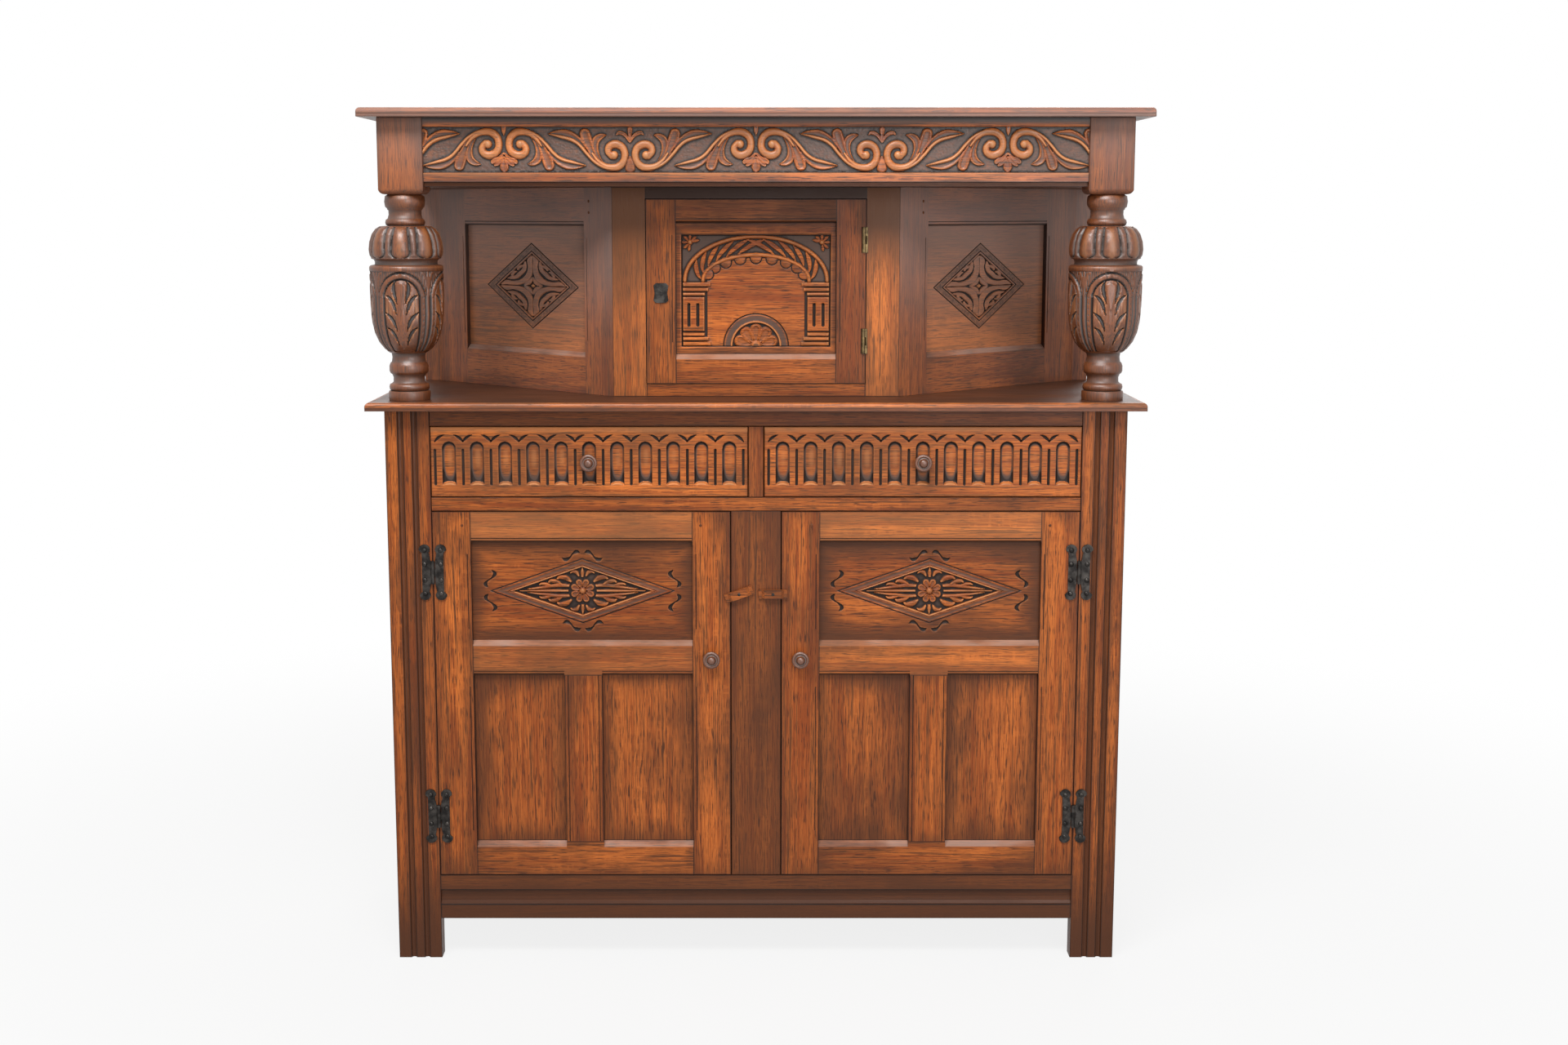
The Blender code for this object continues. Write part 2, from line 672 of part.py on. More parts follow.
def edge_wedge(face, x, edge, direction, drop, depth):
    """Cutter that slopes one edge of an opening: drop is measured on the face, depth behind it."""
    reach = CUTTER_REACH / 2
    over = reach * drop / depth
    wedge = [(reach, edge + direction * (drop + over)), (-depth - reach, edge - direction * over),
             (reach, edge - direction * over)]
    middle = Matrix.Translation((sum(x) / 2, 0.0, 0.0))
    return add_cutter(placed(flat_mesh([wedge], x[1] - x[0] - 2 * GAP), face @ middle @ EDGEWISE))


def quirk(face, x, z):
    """Fine groove on a face."""
    return plate_on_face(face, [rectangle(*x, *z)], QUIRK_DEPTH, CUTTER_REACH)


def head_and_sill(face, x, z, depth):
    """Cutters for the head and the sill of an opening, with a quirk over the head."""
    line = z[1] + QUIRK_FROM_EDGE
    return (edge_wedge(face, x, z[0], -1, SILL_SLOPE, depth),
            edge_wedge(face, x, z[1], 1, HEAD_CHAMFER, HEAD_CHAMFER),
            quirk(face, (x[0] + GAP, x[1] - GAP), (line, line + QUIRK_WIDTH)))


def jamb_line(face, x, z, stop):
    """Cutter for a quirk down a stile or muntin, stopped short of both ends."""
    return quirk(face, (x - QUIRK_WIDTH / 2, x + QUIRK_WIDTH / 2), (z[0] + stop, z[1] - stop))


# Lower doors

def diamond(middle, width, height, inset=0.0):
    """Upright diamond; the inset is the width of a band taken off square to its sides."""
    a, b = width / 2, height / 2
    keep = 1 - inset * hypot(a, b) / (a * b)
    x, z = middle
    return [(x - a * keep, z), (x, z - b * keep), (x + a * keep, z), (x, z + b * keep)]


def rosette(middle, radius):
    """Flower outline whose edge swells once for each petal."""
    count = ROSETTE_PETALS * PETAL_POINTS
    angles = [2 * pi * k / count for k in range(count)]
    reach = [radius - PETAL_DEPTH / 2 * (1 - cos(ROSETTE_PETALS * a)) for a in angles]
    return [(middle[0] + r * cos(a), middle[1] + r * sin(a)) for r, a in zip(reach, angles)]


def carve_diamond(panel, face, x, z):
    """Raised diamond border with a flower in the middle, within the opening's margins."""
    middle = (sum(x) / 2, sum(z) / 2)
    width = x[1] - x[0] - 2 * DIAMOND_SIDE_MARGIN
    height = z[1] - z[0] - 2 * DIAMOND_TOP_MARGIN
    border = [diamond(middle, width, height), diamond(middle, width, height, DIAMOND_BAND)]
    join(panel, plate_on_face(face, border, DIAMOND_RISE, DIAMOND_RISE),
         plate_on_face(face, [rosette(middle, ROSETTE_RADIUS)], DIAMOND_RISE, DIAMOND_RISE))


def make_door(side, sign):
    x0, x1 = CENTRE_STILE_WIDTH / 2 + RUNNING_GAP, STILE_INNER_X - RUNNING_GAP
    z0, z1 = DOOR_BOTTOM_Z + RUNNING_GAP, DOOR_TOP_Z - RUNNING_GAP
    upper = (z1 - DOOR_TOP_RAIL - DOOR_UPPER_OPENING, z1 - DOOR_TOP_RAIL)
    lower = (z0 + DOOR_BOTTOM_RAIL, upper[0] - DOOR_MID_RAIL)
    open_x = (x0 + DOOR_STILE, x1 - DOOR_STILE)
    middle = sum(open_x) / 2
    halves = ((open_x[0], middle - DOOR_MUNTIN / 2), (middle + DOOR_MUNTIN / 2, open_x[1]))
    y = (FRONT_Y, FRONT_Y + DOOR_THICKNESS)
    through = (y[0] - CUTTER_REACH, y[1] + CUTTER_REACH)
    frame = board(f"door_{side}_frame", sorted((sign * x0, sign * x1)), y, (z0, z1), OAK, fit=0.0, arris=0)
    face = face_matrix(FRONT_Y)
    for hole_x, hole_z in ((open_x, upper), (halves[0], lower), (halves[1], lower)):
        hole_x = sorted(sign * x for x in hole_x)
        cut(frame, box_cutter(hole_x, through, hole_z), *head_and_sill(face, hole_x, hole_z, PANEL_SET))
    lines = [(x, z, QUIRK_STOP) for z in (upper, lower)
             for x in (open_x[0] - QUIRK_FROM_EDGE, open_x[1] + QUIRK_FROM_EDGE)]
    lines += [(middle + edge * (DOOR_MUNTIN / 2 - QUIRK_FROM_EDGE), lower, 0.0) for edge in (-1, 1)]
    cut(frame, *(jamb_line(face, sign * x, z, stop) for x, z, stop in lines))
    panel_x = sorted((sign * (open_x[0] - PANEL_TONGUE), sign * (open_x[1] + PANEL_TONGUE)))
    panel_y = (FRONT_Y + PANEL_SET, FRONT_Y + PANEL_SET + PANEL_THICKNESS)
    parts = [frame]
    panels = {}
    for label, opening in (("upper", upper), ("lower", lower)):
        panel_z = (opening[0] - PANEL_TONGUE, opening[1] + PANEL_TONGUE)
        cut(frame, box_cutter(panel_x, panel_y, panel_z, GAP / 2))
        panels[label] = board(f"door_{side}_panel_{label}", panel_x, panel_y, panel_z, PANEL_OAK, arris=0)
    carve_diamond(panels["upper"], face_matrix(panel_y[0] + GAP / 2), sorted(sign * x for x in open_x), upper)
    parts.extend(panels.values())
    knob_z = (lower[1] + upper[0]) / 2
    parts.append(knob(f"door_{side}_knob", sign * (x0 + DOOR_KNOB_FROM_EDGE), knob_z, FRONT_Y))
    axis = Vector((sign * (STILE_INNER_X - RUNNING_GAP / 2), FRONT_Y - GAP - STRAP_KNUCKLE, 0.0))
    for label, z in (("top", z1 - UPPER_STRAP_FROM_TOP), ("bottom", z0 + LOWER_STRAP_FROM_BOTTOM)):
        place = Vector((axis.x, axis.y, z))
        parts.append(strap_leaf(f"door_{side}_hinge_{label}_moving", place, -sign, True))
        strap_leaf(f"door_{side}_hinge_{label}_fixed", place, sign, False)
    pivot(f"door_{side}_axis", axis, *parts)


# Hinges

def knuckle_spans(height):
    """The moving leaf's middle knuckle, then the fixed leaf's two outer ones, along the pin."""
    third = height / 3
    return (-third / 2 + GAP, third / 2 - GAP), ((-height / 2, -third / 2), (third / 2, height / 2))


def add_knuckles(leaf, place, radius, height, moving, web):
    """Joins a leaf's knuckles to it; web gives the plan of the arm from knuckle to leaf."""
    middle, outers = knuckle_spans(height)
    for low, high in (middle,) if moving else outers:
        centre = place + Vector((0.0, 0.0, (low + high) / 2))
        join(leaf, add_cutter(rod_mesh(radius, high - low), Matrix.Translation(centre)))
        (x0, x1), (y0, y1) = web
        join(leaf, box_cutter((place.x + x0, place.x + x1), (place.y + y0, place.y + y1),
                              (place.z + low, place.z + high)))
    if moving:
        cut(leaf, add_cutter(rod_mesh(PIN_RADIUS + GAP, height), Matrix.Translation(place)))
    else:
        join(leaf, add_cutter(rod_mesh(PIN_RADIUS, height), Matrix.Translation(place)))


def strap_outline(direction):
    """Upright leaf with a lobed head and foot, drawn from the pin outwards."""
    near, far = STRAP_KNUCKLE + 2 * GAP, STRAP_KNUCKLE + 2 * GAP + STRAP_WIDTH
    middle, radius = (near + far) / 2, STRAP_WIDTH / 2
    shoulder = STRAP_HEIGHT / 2 - radius
    waist = shoulder - STRAP_LOBE
    outline = arc((middle, shoulder), radius, 0, 180, 8)
    outline += [(near + STRAP_LOBE / 2, waist), (near, STRAP_KNUCKLE_HEIGHT / 2)]
    outline += [(near, -STRAP_KNUCKLE_HEIGHT / 2), (near + STRAP_LOBE / 2, -waist)]
    outline += arc((middle, -shoulder), radius, 180, 360, 8)
    outline += [(far - STRAP_LOBE, -waist), (far - STRAP_LOBE, waist)]
    return [(direction * x, z) for x, z in outline]


def strap_leaf(name, place, direction, moving):
    """Wrought leaf of a lower door's hinge, lying on the face of the door or of the stile."""
    front = place.y + STRAP_KNUCKLE - STRAP_THICKNESS
    matrix = Matrix.Translation((place.x, front + STRAP_THICKNESS / 2, place.z)) @ STANDING
    leaf = add_part(name, flat_mesh([strap_outline(direction)], STRAP_THICKNESS), IRON, matrix)
    reach = STRAP_KNUCKLE + 3 * GAP + STRAP_LOBE
    web_x = sorted((0.0, direction * reach))
    web = (web_x, (STRAP_KNUCKLE - STRAP_THICKNESS, STRAP_KNUCKLE))
    add_knuckles(leaf, place, STRAP_KNUCKLE, STRAP_KNUCKLE_HEIGHT, moving, web)
    return leaf


# Turn buttons

def make_button(side, sign, tilt):
    """Wooden turn button: a short bar with a raised middle and sloping ends."""
    half, rise = BUTTON_LENGTH / 2, BUTTON_THICKNESS
    outline = [(-half, 0.0), (half, 0.0), (half, rise / 2), (half - BUTTON_END_SLOPE, rise / 2),
               (half - 2 * BUTTON_END_SLOPE, rise), (2 * BUTTON_END_SLOPE - half, rise),
               (BUTTON_END_SLOPE - half, rise / 2), (-half, rise / 2)]
    place = Vector((sign * BUTTON_FROM_CENTRE, FRONT_Y - GAP, BUTTON_Z))
    turn = Matrix.Rotation(radians(-tilt), 4, "Y") @ Matrix.Rotation(pi, 4, "X")
    button = add_part(f"turn_button_{side}", flat_mesh([outline], BUTTON_HEIGHT), OAK,
                      Matrix.Translation(place) @ turn)
    pivot(f"turn_button_{side}_axis", place, button)


# Canopy and posts

def post_profile(top_z, bottom_z):
    """Outer line of the turned post from the block down to the main board."""
    z = top_z
    points = [(0.0, z + CUTTER_REACH), (POST_NECK_RADIUS, z + CUTTER_REACH), (POST_NECK_RADIUS, z)]

    def bead(radius, inner, height):
        nonlocal z
        half = height / 2
        points.extend(arc((inner, z - half), (radius - inner, half), 90, -90, 4))
        z -= height

    bead(POST_COLLAR_RADIUS, POST_NECK_RADIUS, POST_COLLAR_HEIGHT)
    z -= POST_NECK_HEIGHT
    points.append((POST_NECK_RADIUS, z))
    bead(POST_ASTRAGAL_RADIUS, POST_NECK_RADIUS, POST_ASTRAGAL_HEIGHT)
    cover_top = z
    points.extend(cover_line(cover_top, COVER_RADIUS - GADROON_RISE))
    z -= COVER_HEIGHT
    points.append((WAIST_RADIUS, z))
    z -= WAIST_HEIGHT
    points.append((WAIST_RADIUS, z))
    foot_height = (STEM_HEIGHT + STEM_RING_HEIGHT + FOOT_NECK_HEIGHT + FOOT_TORUS_HEIGHT + BASE_HEIGHT)
    cup_bottom = bottom_z + foot_height
    points.append((CUP_RADIUS, z))
    points.extend(arc((STEM_RADIUS, cup_bottom + CUP_TAPER_HEIGHT),
                      (CUP_RADIUS - STEM_RADIUS, CUP_TAPER_HEIGHT), 0, -90, 5))
    z = cup_bottom - STEM_HEIGHT
    points.append((STEM_RADIUS, z))
    bead(STEM_RING_RADIUS, FOOT_NECK_RADIUS, STEM_RING_HEIGHT)
    z -= FOOT_NECK_HEIGHT
    points.append((FOOT_NECK_RADIUS, z))
    bead(FOOT_TORUS_RADIUS, FOOT_NECK_RADIUS, FOOT_TORUS_HEIGHT)
    points.extend([(BASE_RADIUS, z), (BASE_RADIUS, bottom_z), (0.0, bottom_z)])
    return points, cover_top


def cover_line(top_z, radius):
    """Swelling line of the cover, from its shoulder down to its widest place."""
    return arc((POST_NECK_RADIUS, top_z - COVER_HEIGHT), (radius - POST_NECK_RADIUS, COVER_HEIGHT), 90, 0, 6)


def gadroon_lobes(place, cover_top):
    """Ring of lobes on the cover, narrow at the neck and rounded under at the foot."""
    line = cover_line(cover_top, COVER_RADIUS)[1:]
    swell = (GADROON_RADIUS - GADROON_NECK) / (len(line) - 1)
    lobe = [(outer, height, GADROON_NECK + swell * step) for step, (outer, height) in enumerate(line)]
    outer, height, thick = lobe.pop()
    lobe += [(outer, height + GADROON_FOOT, thick), (outer - GADROON_FOOT / 2, height, thick - GADROON_FOOT)]
    for k in range(GADROON_COUNT):
        angle = 2 * pi * k / GADROON_COUNT
        points = [((r - t) * cos(angle), (r - t) * sin(angle), z) for r, z, t in lobe]
        widths = [t / GADROON_RADIUS for _, _, t in lobe]
        yield add_cutter(tube_mesh(points, GADROON_RADIUS, widths), Matrix.Translation(place))


def make_posts():
    profile, cover_top = post_profile(BLOCK_BOTTOM_Z, TABLE_HEIGHT + GAP)
    middle_y = (FRONT_Y + BLOCK_BACK_Y) / 2
    block_height = CORNICE_UNDER_Z - GAP - BLOCK_BOTTOM_Z
    for side, sign in SIDES:
        middle = Vector((sign * (STILE_INNER_X + CASE_HALF) / 2, middle_y, 0.0))
        post = turned_mesh_part(f"post_{side}", profile, OAK, Matrix.Translation(middle), POST_STEPS)
        join(post, *gadroon_lobes(middle, cover_top))
        block = add_cutter(box_mesh((STILE_WIDTH, STILE_WIDTH, block_height)),
                           Matrix.Translation(middle + Vector((0.0, 0.0, BLOCK_BOTTOM_Z + block_height / 2))))
        weights = block.data.attributes.new("bevel_weight_edge", "FLOAT", "EDGE")
        for edge in block.data.edges:
            a, b = (block.data.vertices[k].co for k in edge.vertices)
            weights.data[edge.index].value = 1.0 if a.z < 0 and b.z < 0 else 0.0
        bevel(block, BLOCK_ROUND, segments=3, marked=True)
        join(post, block)


def make_frieze():
    z = (FRIEZE_BOTTOM_Z, CORNICE_UNDER_Z)
    face = FRONT_Y + FRIEZE_SET
    front = board("frieze_front", (-STILE_INNER_X, STILE_INNER_X), (face, face + FRIEZE_THICKNESS), z, OAK)
    reach = STILE_INNER_X + CUTTER_REACH
    cut(front, box_cutter((-reach, reach), (face - CUTTER_REACH, face + FRIEZE_RECESS),
                          (z[0] + FRIEZE_BOTTOM_BAND, z[1] - FRIEZE_TOP_BAND)))
    for side, sign in SIDES:
        x = sorted((sign * (CASE_HALF - FRIEZE_THICKNESS), sign * CASE_HALF))
        board(f"frieze_{side}", x, (BLOCK_BACK_Y, BACK_Y), z, OAK)


def make_soffit():
    """Ceiling board under the canopy, notched round the post blocks and the back board."""
    front = FRONT_Y + SOFFIT_SET
    notch_x, notch_y = STILE_INNER_X - GAP, BLOCK_BACK_Y + GAP
    rear_x, rear_y = REAR_POST_INNER_X, BACK_BOARD_Y - GAP
    half = [(notch_x, front), (notch_x, notch_y), (CASE_HALF, notch_y), (CASE_HALF, BACK_Y),
            (rear_x, BACK_Y), (rear_x, rear_y)]
    outline = half + [(-x, y) for x, y in reversed(half)]
    prism("soffit_board", outline, SOFFIT_UNDER_Z + GAP / 2, FRIEZE_BOTTOM_Z - GAP / 2, DARK_OAK)


def make_back_upper():
    """Back of the upper stage: narrow between the rear posts, wider within the canopy."""
    low_x, high_x = REAR_POST_INNER_X - GAP, CASE_HALF - FRIEZE_THICKNESS - GAP
    half = [(low_x, TABLE_HEIGHT + GAP), (low_x, FRIEZE_BOTTOM_Z + GAP),
            (high_x, FRIEZE_BOTTOM_Z + GAP), (high_x, CORNICE_UNDER_Z - GAP)]
    outline = half + [(-x, z) for x, z in reversed(half)]
    standing_plate("back_upper", [outline], BACK_BOARD_Y, BACK_THICKNESS, INNER_OAK)


# Upper cupboard

def make_surround():
    """Front frame of the upper cupboard, its ends splayed to meet the canted wings."""
    splay = SURROUND_THICKNESS * tan(WING_ANGLE)
    back = SURROUND_Y + SURROUND_THICKNESS
    outline = [(-SURROUND_HALF, SURROUND_Y), (SURROUND_HALF, SURROUND_Y),
               (SURROUND_HALF - splay, back), (splay - SURROUND_HALF, back)]
    part = prism("surround_frame", outline, TABLE_HEIGHT + GAP, SOFFIT_UNDER_Z - GAP / 2, OAK)
    reach_y = (SURROUND_Y - CUTTER_REACH, back + CUTTER_REACH)
    cut(part, box_cutter((-UPPER_HALF, UPPER_HALF), reach_y, (UPPER_BOTTOM_Z, UPPER_TOP_Z)))
    return part


def wing_matrix(sign, set_back, thickness):
    """Places an outline drawn along a wing and up it, its face set back behind the wing's front."""
    along = Vector((sign * cos(WING_ANGLE), sin(WING_ANGLE), 0.0))
    outward = Vector((sign * sin(WING_ANGLE), -cos(WING_ANGLE), 0.0))
    start = Vector((sign * SURROUND_HALF, SURROUND_Y, 0.0)) - outward * (set_back + thickness / 2)
    columns = (along, Vector((0.0, 0.0, 1.0)), outward)
    matrix = Matrix.Translation(start)
    for column, axis in enumerate(columns):
        for row in range(3):
            matrix[row][column] = axis[row]
    return matrix


def wing_mesh(outlines, sign, set_back, thickness):
    """Mesh of a wing piece already in its place, so that the left hand is a true mirror image."""
    return placed(flat_mesh(outlines, thickness), wing_matrix(sign, set_back, thickness))


def star(middle, width, height):
    """Four-pointed star inside a lozenge."""
    x, z = middle
    a, b = STAR_WAIST, STAR_WAIST * height / width
    waists = [(x - a, z - b), (x + a, z - b), (x + a, z + b), (x - a, z + b)]
    tips = diamond(middle, width, height, STAR_TIP_INSET)
    return [point for pair in zip(tips, waists) for point in pair]


def carve_lozenge(panel, face, z):
    """Lozenge whose sunk field leaves a leaf star standing."""
    middle = (WING_INNER_STILE + LOZENGE_FROM_STILE + LOZENGE_WIDTH / 2, sum(z) / 2)
    size = (LOZENGE_WIDTH, LOZENGE_HEIGHT)
    field = [diamond(middle, *size, LOZENGE_BORDER), star(middle, *size)]
    cut(panel, plate_on_face(face, field, LOZENGE_SINK, CUTTER_REACH))


def make_wing(side, sign):
    """Canted wing with its rear post, and the panel held in its grooves."""
    z0, z1 = TABLE_HEIGHT + GAP, SOFFIT_UNDER_Z - GAP / 2
    opening = (WING_INNER_STILE, WING_LENGTH - WING_OUTER_STILE, TABLE_HEIGHT + WING_SILL,
               SOFFIT_UNDER_Z - WING_HEAD)
    outlines = [rectangle(GAP, WING_LENGTH, z0, z1), rectangle(*opening)]
    frame = add_part(f"wing_frame_{side}", wing_mesh(outlines, sign, 0.0, WING_THICKNESS), OAK)
    post_x = sorted((sign * REAR_POST_INNER_X, sign * CASE_HALF))
    post_size, post_middle = span(post_x, (WING_REAR_Y, BACK_Y), (z0, z1), 0.0)
    join(frame, add_cutter(box_mesh(post_size), Matrix.Translation(post_middle)))

    def tongue(grow):
        s0, s1, low, high = opening
        reach = PANEL_TONGUE + grow
        return [rectangle(s0 - reach, s1 + reach, low - reach, high + reach)]

    groove = wing_mesh(tongue(GAP), sign, UPPER_PANEL_SET - GAP, UPPER_PANEL_THICKNESS + 2 * GAP)
    cut(frame, add_cutter(groove))
    face = wing_matrix(sign, 0.0, 0.0)
    open_s, open_z = opening[:2], opening[2:]
    cut(frame, *head_and_sill(face, open_s, open_z, UPPER_PANEL_SET))
    for line in (open_s[0] - QUIRK_FROM_EDGE, open_s[1] + QUIRK_FROM_EDGE):
        cut(frame, jamb_line(face, line, open_z, QUIRK_STOP))
    panel_mesh = wing_mesh(tongue(0.0), sign, UPPER_PANEL_SET, UPPER_PANEL_THICKNESS)
    panel = add_part(f"wing_panel_{side}", panel_mesh, PANEL_OAK)
    carve_lozenge(panel, wing_matrix(sign, UPPER_PANEL_SET, 0.0), open_z)


def keyhole(x, z):
    """Round keyhole with its slot below."""
    spread = 30
    points = arc((x, z), KEYHOLE_RADIUS, 270 + spread, 630 - spread, 10)
    return points + [(x - KEYHOLE_SLOT, z - KEYHOLE_LENGTH), (x + KEYHOLE_SLOT, z - KEYHOLE_LENGTH)]


def make_escutcheon(x, z):
    """Small plate with eared ends and a pierced keyhole."""
    half, rise, ear = ESCUTCHEON_WIDTH / 2, ESCUTCHEON_HEIGHT / 2, ESCUTCHEON_EAR
    edge = [(half - ear, -rise), (half, ear - rise), (half - ear / 2, 0.0)]
    edge += [(half, rise - ear), (half - ear, rise)]
    outline = [(x + dx, z + dz) for dx, dz in edge + [(-dx, dz) for dx, dz in reversed(edge)]]
    return standing_plate("upper_door_escutcheon", [outline, keyhole(x, z + KEYHOLE_RADIUS)],
                          SURROUND_Y - GAP - ESCUTCHEON_THICKNESS, ESCUTCHEON_THICKNESS, IRON)


def make_lock(surround, frame, edge_x, z):
    """Bolt in the free stile of the upper door, which slides out into a mortise of the surround."""
    middle_y = SURROUND_Y + UPPER_DOOR_THICKNESS / 2
    y = (middle_y - BOLT_THICKNESS / 2, middle_y + BOLT_THICKNESS / 2)
    tall = (z - BOLT_HEIGHT / 2, z + BOLT_HEIGHT / 2)
    bolt_x = (edge_x + GAP, edge_x + BOLT_LENGTH)
    cut(frame, box_cutter((edge_x - CUTTER_REACH, bolt_x[1]), y, tall, GAP))
    mortise_x = (edge_x - RUNNING_GAP - BOLT_THROW, edge_x)
    cut(surround, box_cutter(mortise_x, y, tall, RUNNING_GAP / 2))
    bolt = board("upper_lock_bolt", bolt_x, y, tall, STEEL, fit=0.0, arris=0)
    return bolt


def butt_hinge(label, surround, frame, axis, edge_x, z):
    """Brass butt whose knuckle is let into the front corner of the door's stile."""
    place = Vector((axis.x, axis.y, z))
    tall = (z - BUTT_HEIGHT / 2, z + BUTT_HEIGHT / 2)
    web = BUTT_LEAF / 2
    leaf_y = (place.y + BUTT_KNUCKLE + GAP, place.y + BUTT_DEPTH)
    moving_x = (edge_x - GAP - BUTT_LEAF, edge_x - GAP)
    fixed_x = (edge_x + RUNNING_GAP + GAP, edge_x + RUNNING_GAP + GAP + BUTT_LEAF)
    clear = BUTT_KNUCKLE + 2 * GAP
    fixed_y = (place.y - web, leaf_y[1])
    knuckle_y = (SURROUND_Y - CUTTER_REACH, place.y + clear)
    mortise_y = (fixed_y[0] - CUTTER_REACH, fixed_y[1])
    cut(frame, box_cutter((place.x - clear, edge_x + CUTTER_REACH), knuckle_y, tall, GAP))
    cut(frame, box_cutter((moving_x[0], edge_x + CUTTER_REACH), leaf_y, tall, GAP))
    cut(surround, box_cutter((edge_x - CUTTER_REACH / 2, fixed_x[1]), mortise_y, tall, GAP))
    moving = board(f"upper_hinge_{label}_moving", moving_x, leaf_y, tall, BRASS, fit=0.0, arris=0)
    moving_web = ((0.0, moving_x[1] - place.x), (web + 2 * GAP, BUTT_KNUCKLE + 2 * GAP))
    add_knuckles(moving, place, BUTT_KNUCKLE, BUTT_HEIGHT, True, moving_web)
    fixed = board(f"upper_hinge_{label}_fixed", fixed_x, fixed_y, tall, BRASS, fit=0.0, arris=0)
    fixed_web = ((0.0, fixed_x[1] - place.x), (-web, web))
    add_knuckles(fixed, place, BUTT_KNUCKLE, BUTT_HEIGHT, False, fixed_web)
    return moving


def carve_arch(panel, face, x, z):
    """Pockets that leave an arch on two pilasters and a half flower standing on the panel."""
    half = (x[1] - x[0]) / 2 - FIELD_SIDE_MARGIN
    base = z[0] + FIELD_BASE_MARGIN
    top = z[1] - FIELD_TOP_MARGIN
    spring = top - ARCH_RISE

    def ring(inset, start, stop):
        return arc((0.0, spring), (half - inset, ARCH_RISE - inset), start, stop, ARCH_STEPS)

    inner = ARCH_BAND + LEAF_BAND
    pilaster = half - inner - ARCH_BAND
    shell = LUNETTE_RADIUS - LUNETTE_RING
    spandrel = ring(0.0, 12, 72)
    field = ring(inner + ARCH_BAND, 0, 180) + [(-pilaster, base)]
    field += arc((0.0, base), LUNETTE_RADIUS, 180, 0, ARCH_STEPS) + [(pilaster, base)]
    pockets = [spandrel + [(spandrel[-1][0], top), (half, top), (half, spandrel[0][1])],
               ring(ARCH_BAND, 0, 180) + ring(inner, 180, 0),
               field,
               arc((0.0, base), shell, 0, 180, ARCH_STEPS) + arc((0.0, base), LUNETTE_BOSS, 180, 0, 6)]
    pockets.append([(-a, b) for a, b in reversed(pockets[0])])
    middle = (half + pilaster) / 2
    foot = (base + spring - PILASTER_FLUTE_HEIGHT) / 2
    for flute in (-middle, middle):
        for step in (-PILASTER_FLUTE_PITCH / 2, PILASTER_FLUTE_PITCH / 2):
            x0 = flute + step - PILASTER_FLUTE_WIDTH / 2
            pockets.append(rectangle(x0, x0 + PILASTER_FLUTE_WIDTH, foot, foot + PILASTER_FLUTE_HEIGHT))
    cut(panel, *(plate_on_face(face, [pocket], CARVED_SINK, CUTTER_REACH) for pocket in pockets))


def make_upper_door(surround):
    half = UPPER_HALF - RUNNING_GAP
    z0, z1 = UPPER_BOTTOM_Z + RUNNING_GAP, UPPER_TOP_Z - RUNNING_GAP
    open_x = (UPPER_DOOR_STILE - half, half - UPPER_DOOR_STILE)
    open_z = (z0 + UPPER_DOOR_BOTTOM_RAIL, z1 - UPPER_DOOR_TOP_RAIL)
    outlines = [rectangle(-half, half, z0, z1), rectangle(*open_x, *open_z)]
    frame = standing_plate("upper_door_frame", outlines, SURROUND_Y, UPPER_DOOR_THICKNESS, OAK)
    panel_x = (open_x[0] - PANEL_TONGUE, open_x[1] + PANEL_TONGUE)
    panel_z = (open_z[0] - PANEL_TONGUE, open_z[1] + PANEL_TONGUE)
    panel_y = (SURROUND_Y + UPPER_PANEL_SET, SURROUND_Y + UPPER_PANEL_SET + UPPER_PANEL_THICKNESS)
    cut(frame, box_cutter(panel_x, panel_y, panel_z, GAP / 2))
    face = face_matrix(SURROUND_Y)
    cut(frame, *head_and_sill(face, open_x, open_z, UPPER_PANEL_SET))
    for line in (open_x[0] - QUIRK_FROM_EDGE, open_x[1] + QUIRK_FROM_EDGE):
        cut(frame, jamb_line(face, line, open_z, QUIRK_STOP))
    panel = board("upper_door_panel", panel_x, panel_y, panel_z, PANEL_OAK, arris=0)
    carve_arch(panel, face_matrix(panel_y[0] + GAP / 2), open_x, open_z)
    lock_z = z0 + LOCK_FROM_BOTTOM
    plate = make_escutcheon(LOCK_FROM_EDGE - half, lock_z)
    bolt = make_lock(surround, frame, -half, lock_z)
    pivot("upper_lock_slide", bolt.matrix_world.translation.copy(), bolt)
    axis = Vector((half - BUTT_KNUCKLE - 2 * GAP, SURROUND_Y - BUTT_PROUD, 0.0))
    parts = [frame, panel, plate]
    for label, z in (("top", z1 - BUTT_FROM_TOP), ("bottom", z0 + BUTT_FROM_BOTTOM)):
        parts.append(butt_hinge(label, surround, frame, axis, half, z))
    pivot("upper_door_axis", axis, *parts)


def main():
    make_boards()
    make_front_stiles()
    make_rear_stiles()
    make_front_rails()
    make_bottom_rail()
    make_sides()
    make_case_inside()
    for side, sign in SIDES:
        make_drawer(side, sign)
        make_door(side, sign)
        make_wing(side, sign)
    make_button("left", -1, LEFT_BUTTON_TILT)
    make_button("right", 1, 0.0)
    make_posts()
    make_frieze()
    make_soffit()
    make_back_upper()
    make_upper_door(make_surround())
    for part in PARTS.objects:
        if part.type == "MESH":
            smooth(part.data)


main()
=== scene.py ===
"""Looks of the oak court cupboard: carved oak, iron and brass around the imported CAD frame.

Metres, Z up, front towards -Y. The carving is worked out as height fields, drawn in millimetres.
"""

from math import atan2, cos, hypot, pi, radians, sin

import bmesh
import bpy
import numpy as np
from mathutils import Matrix, Vector


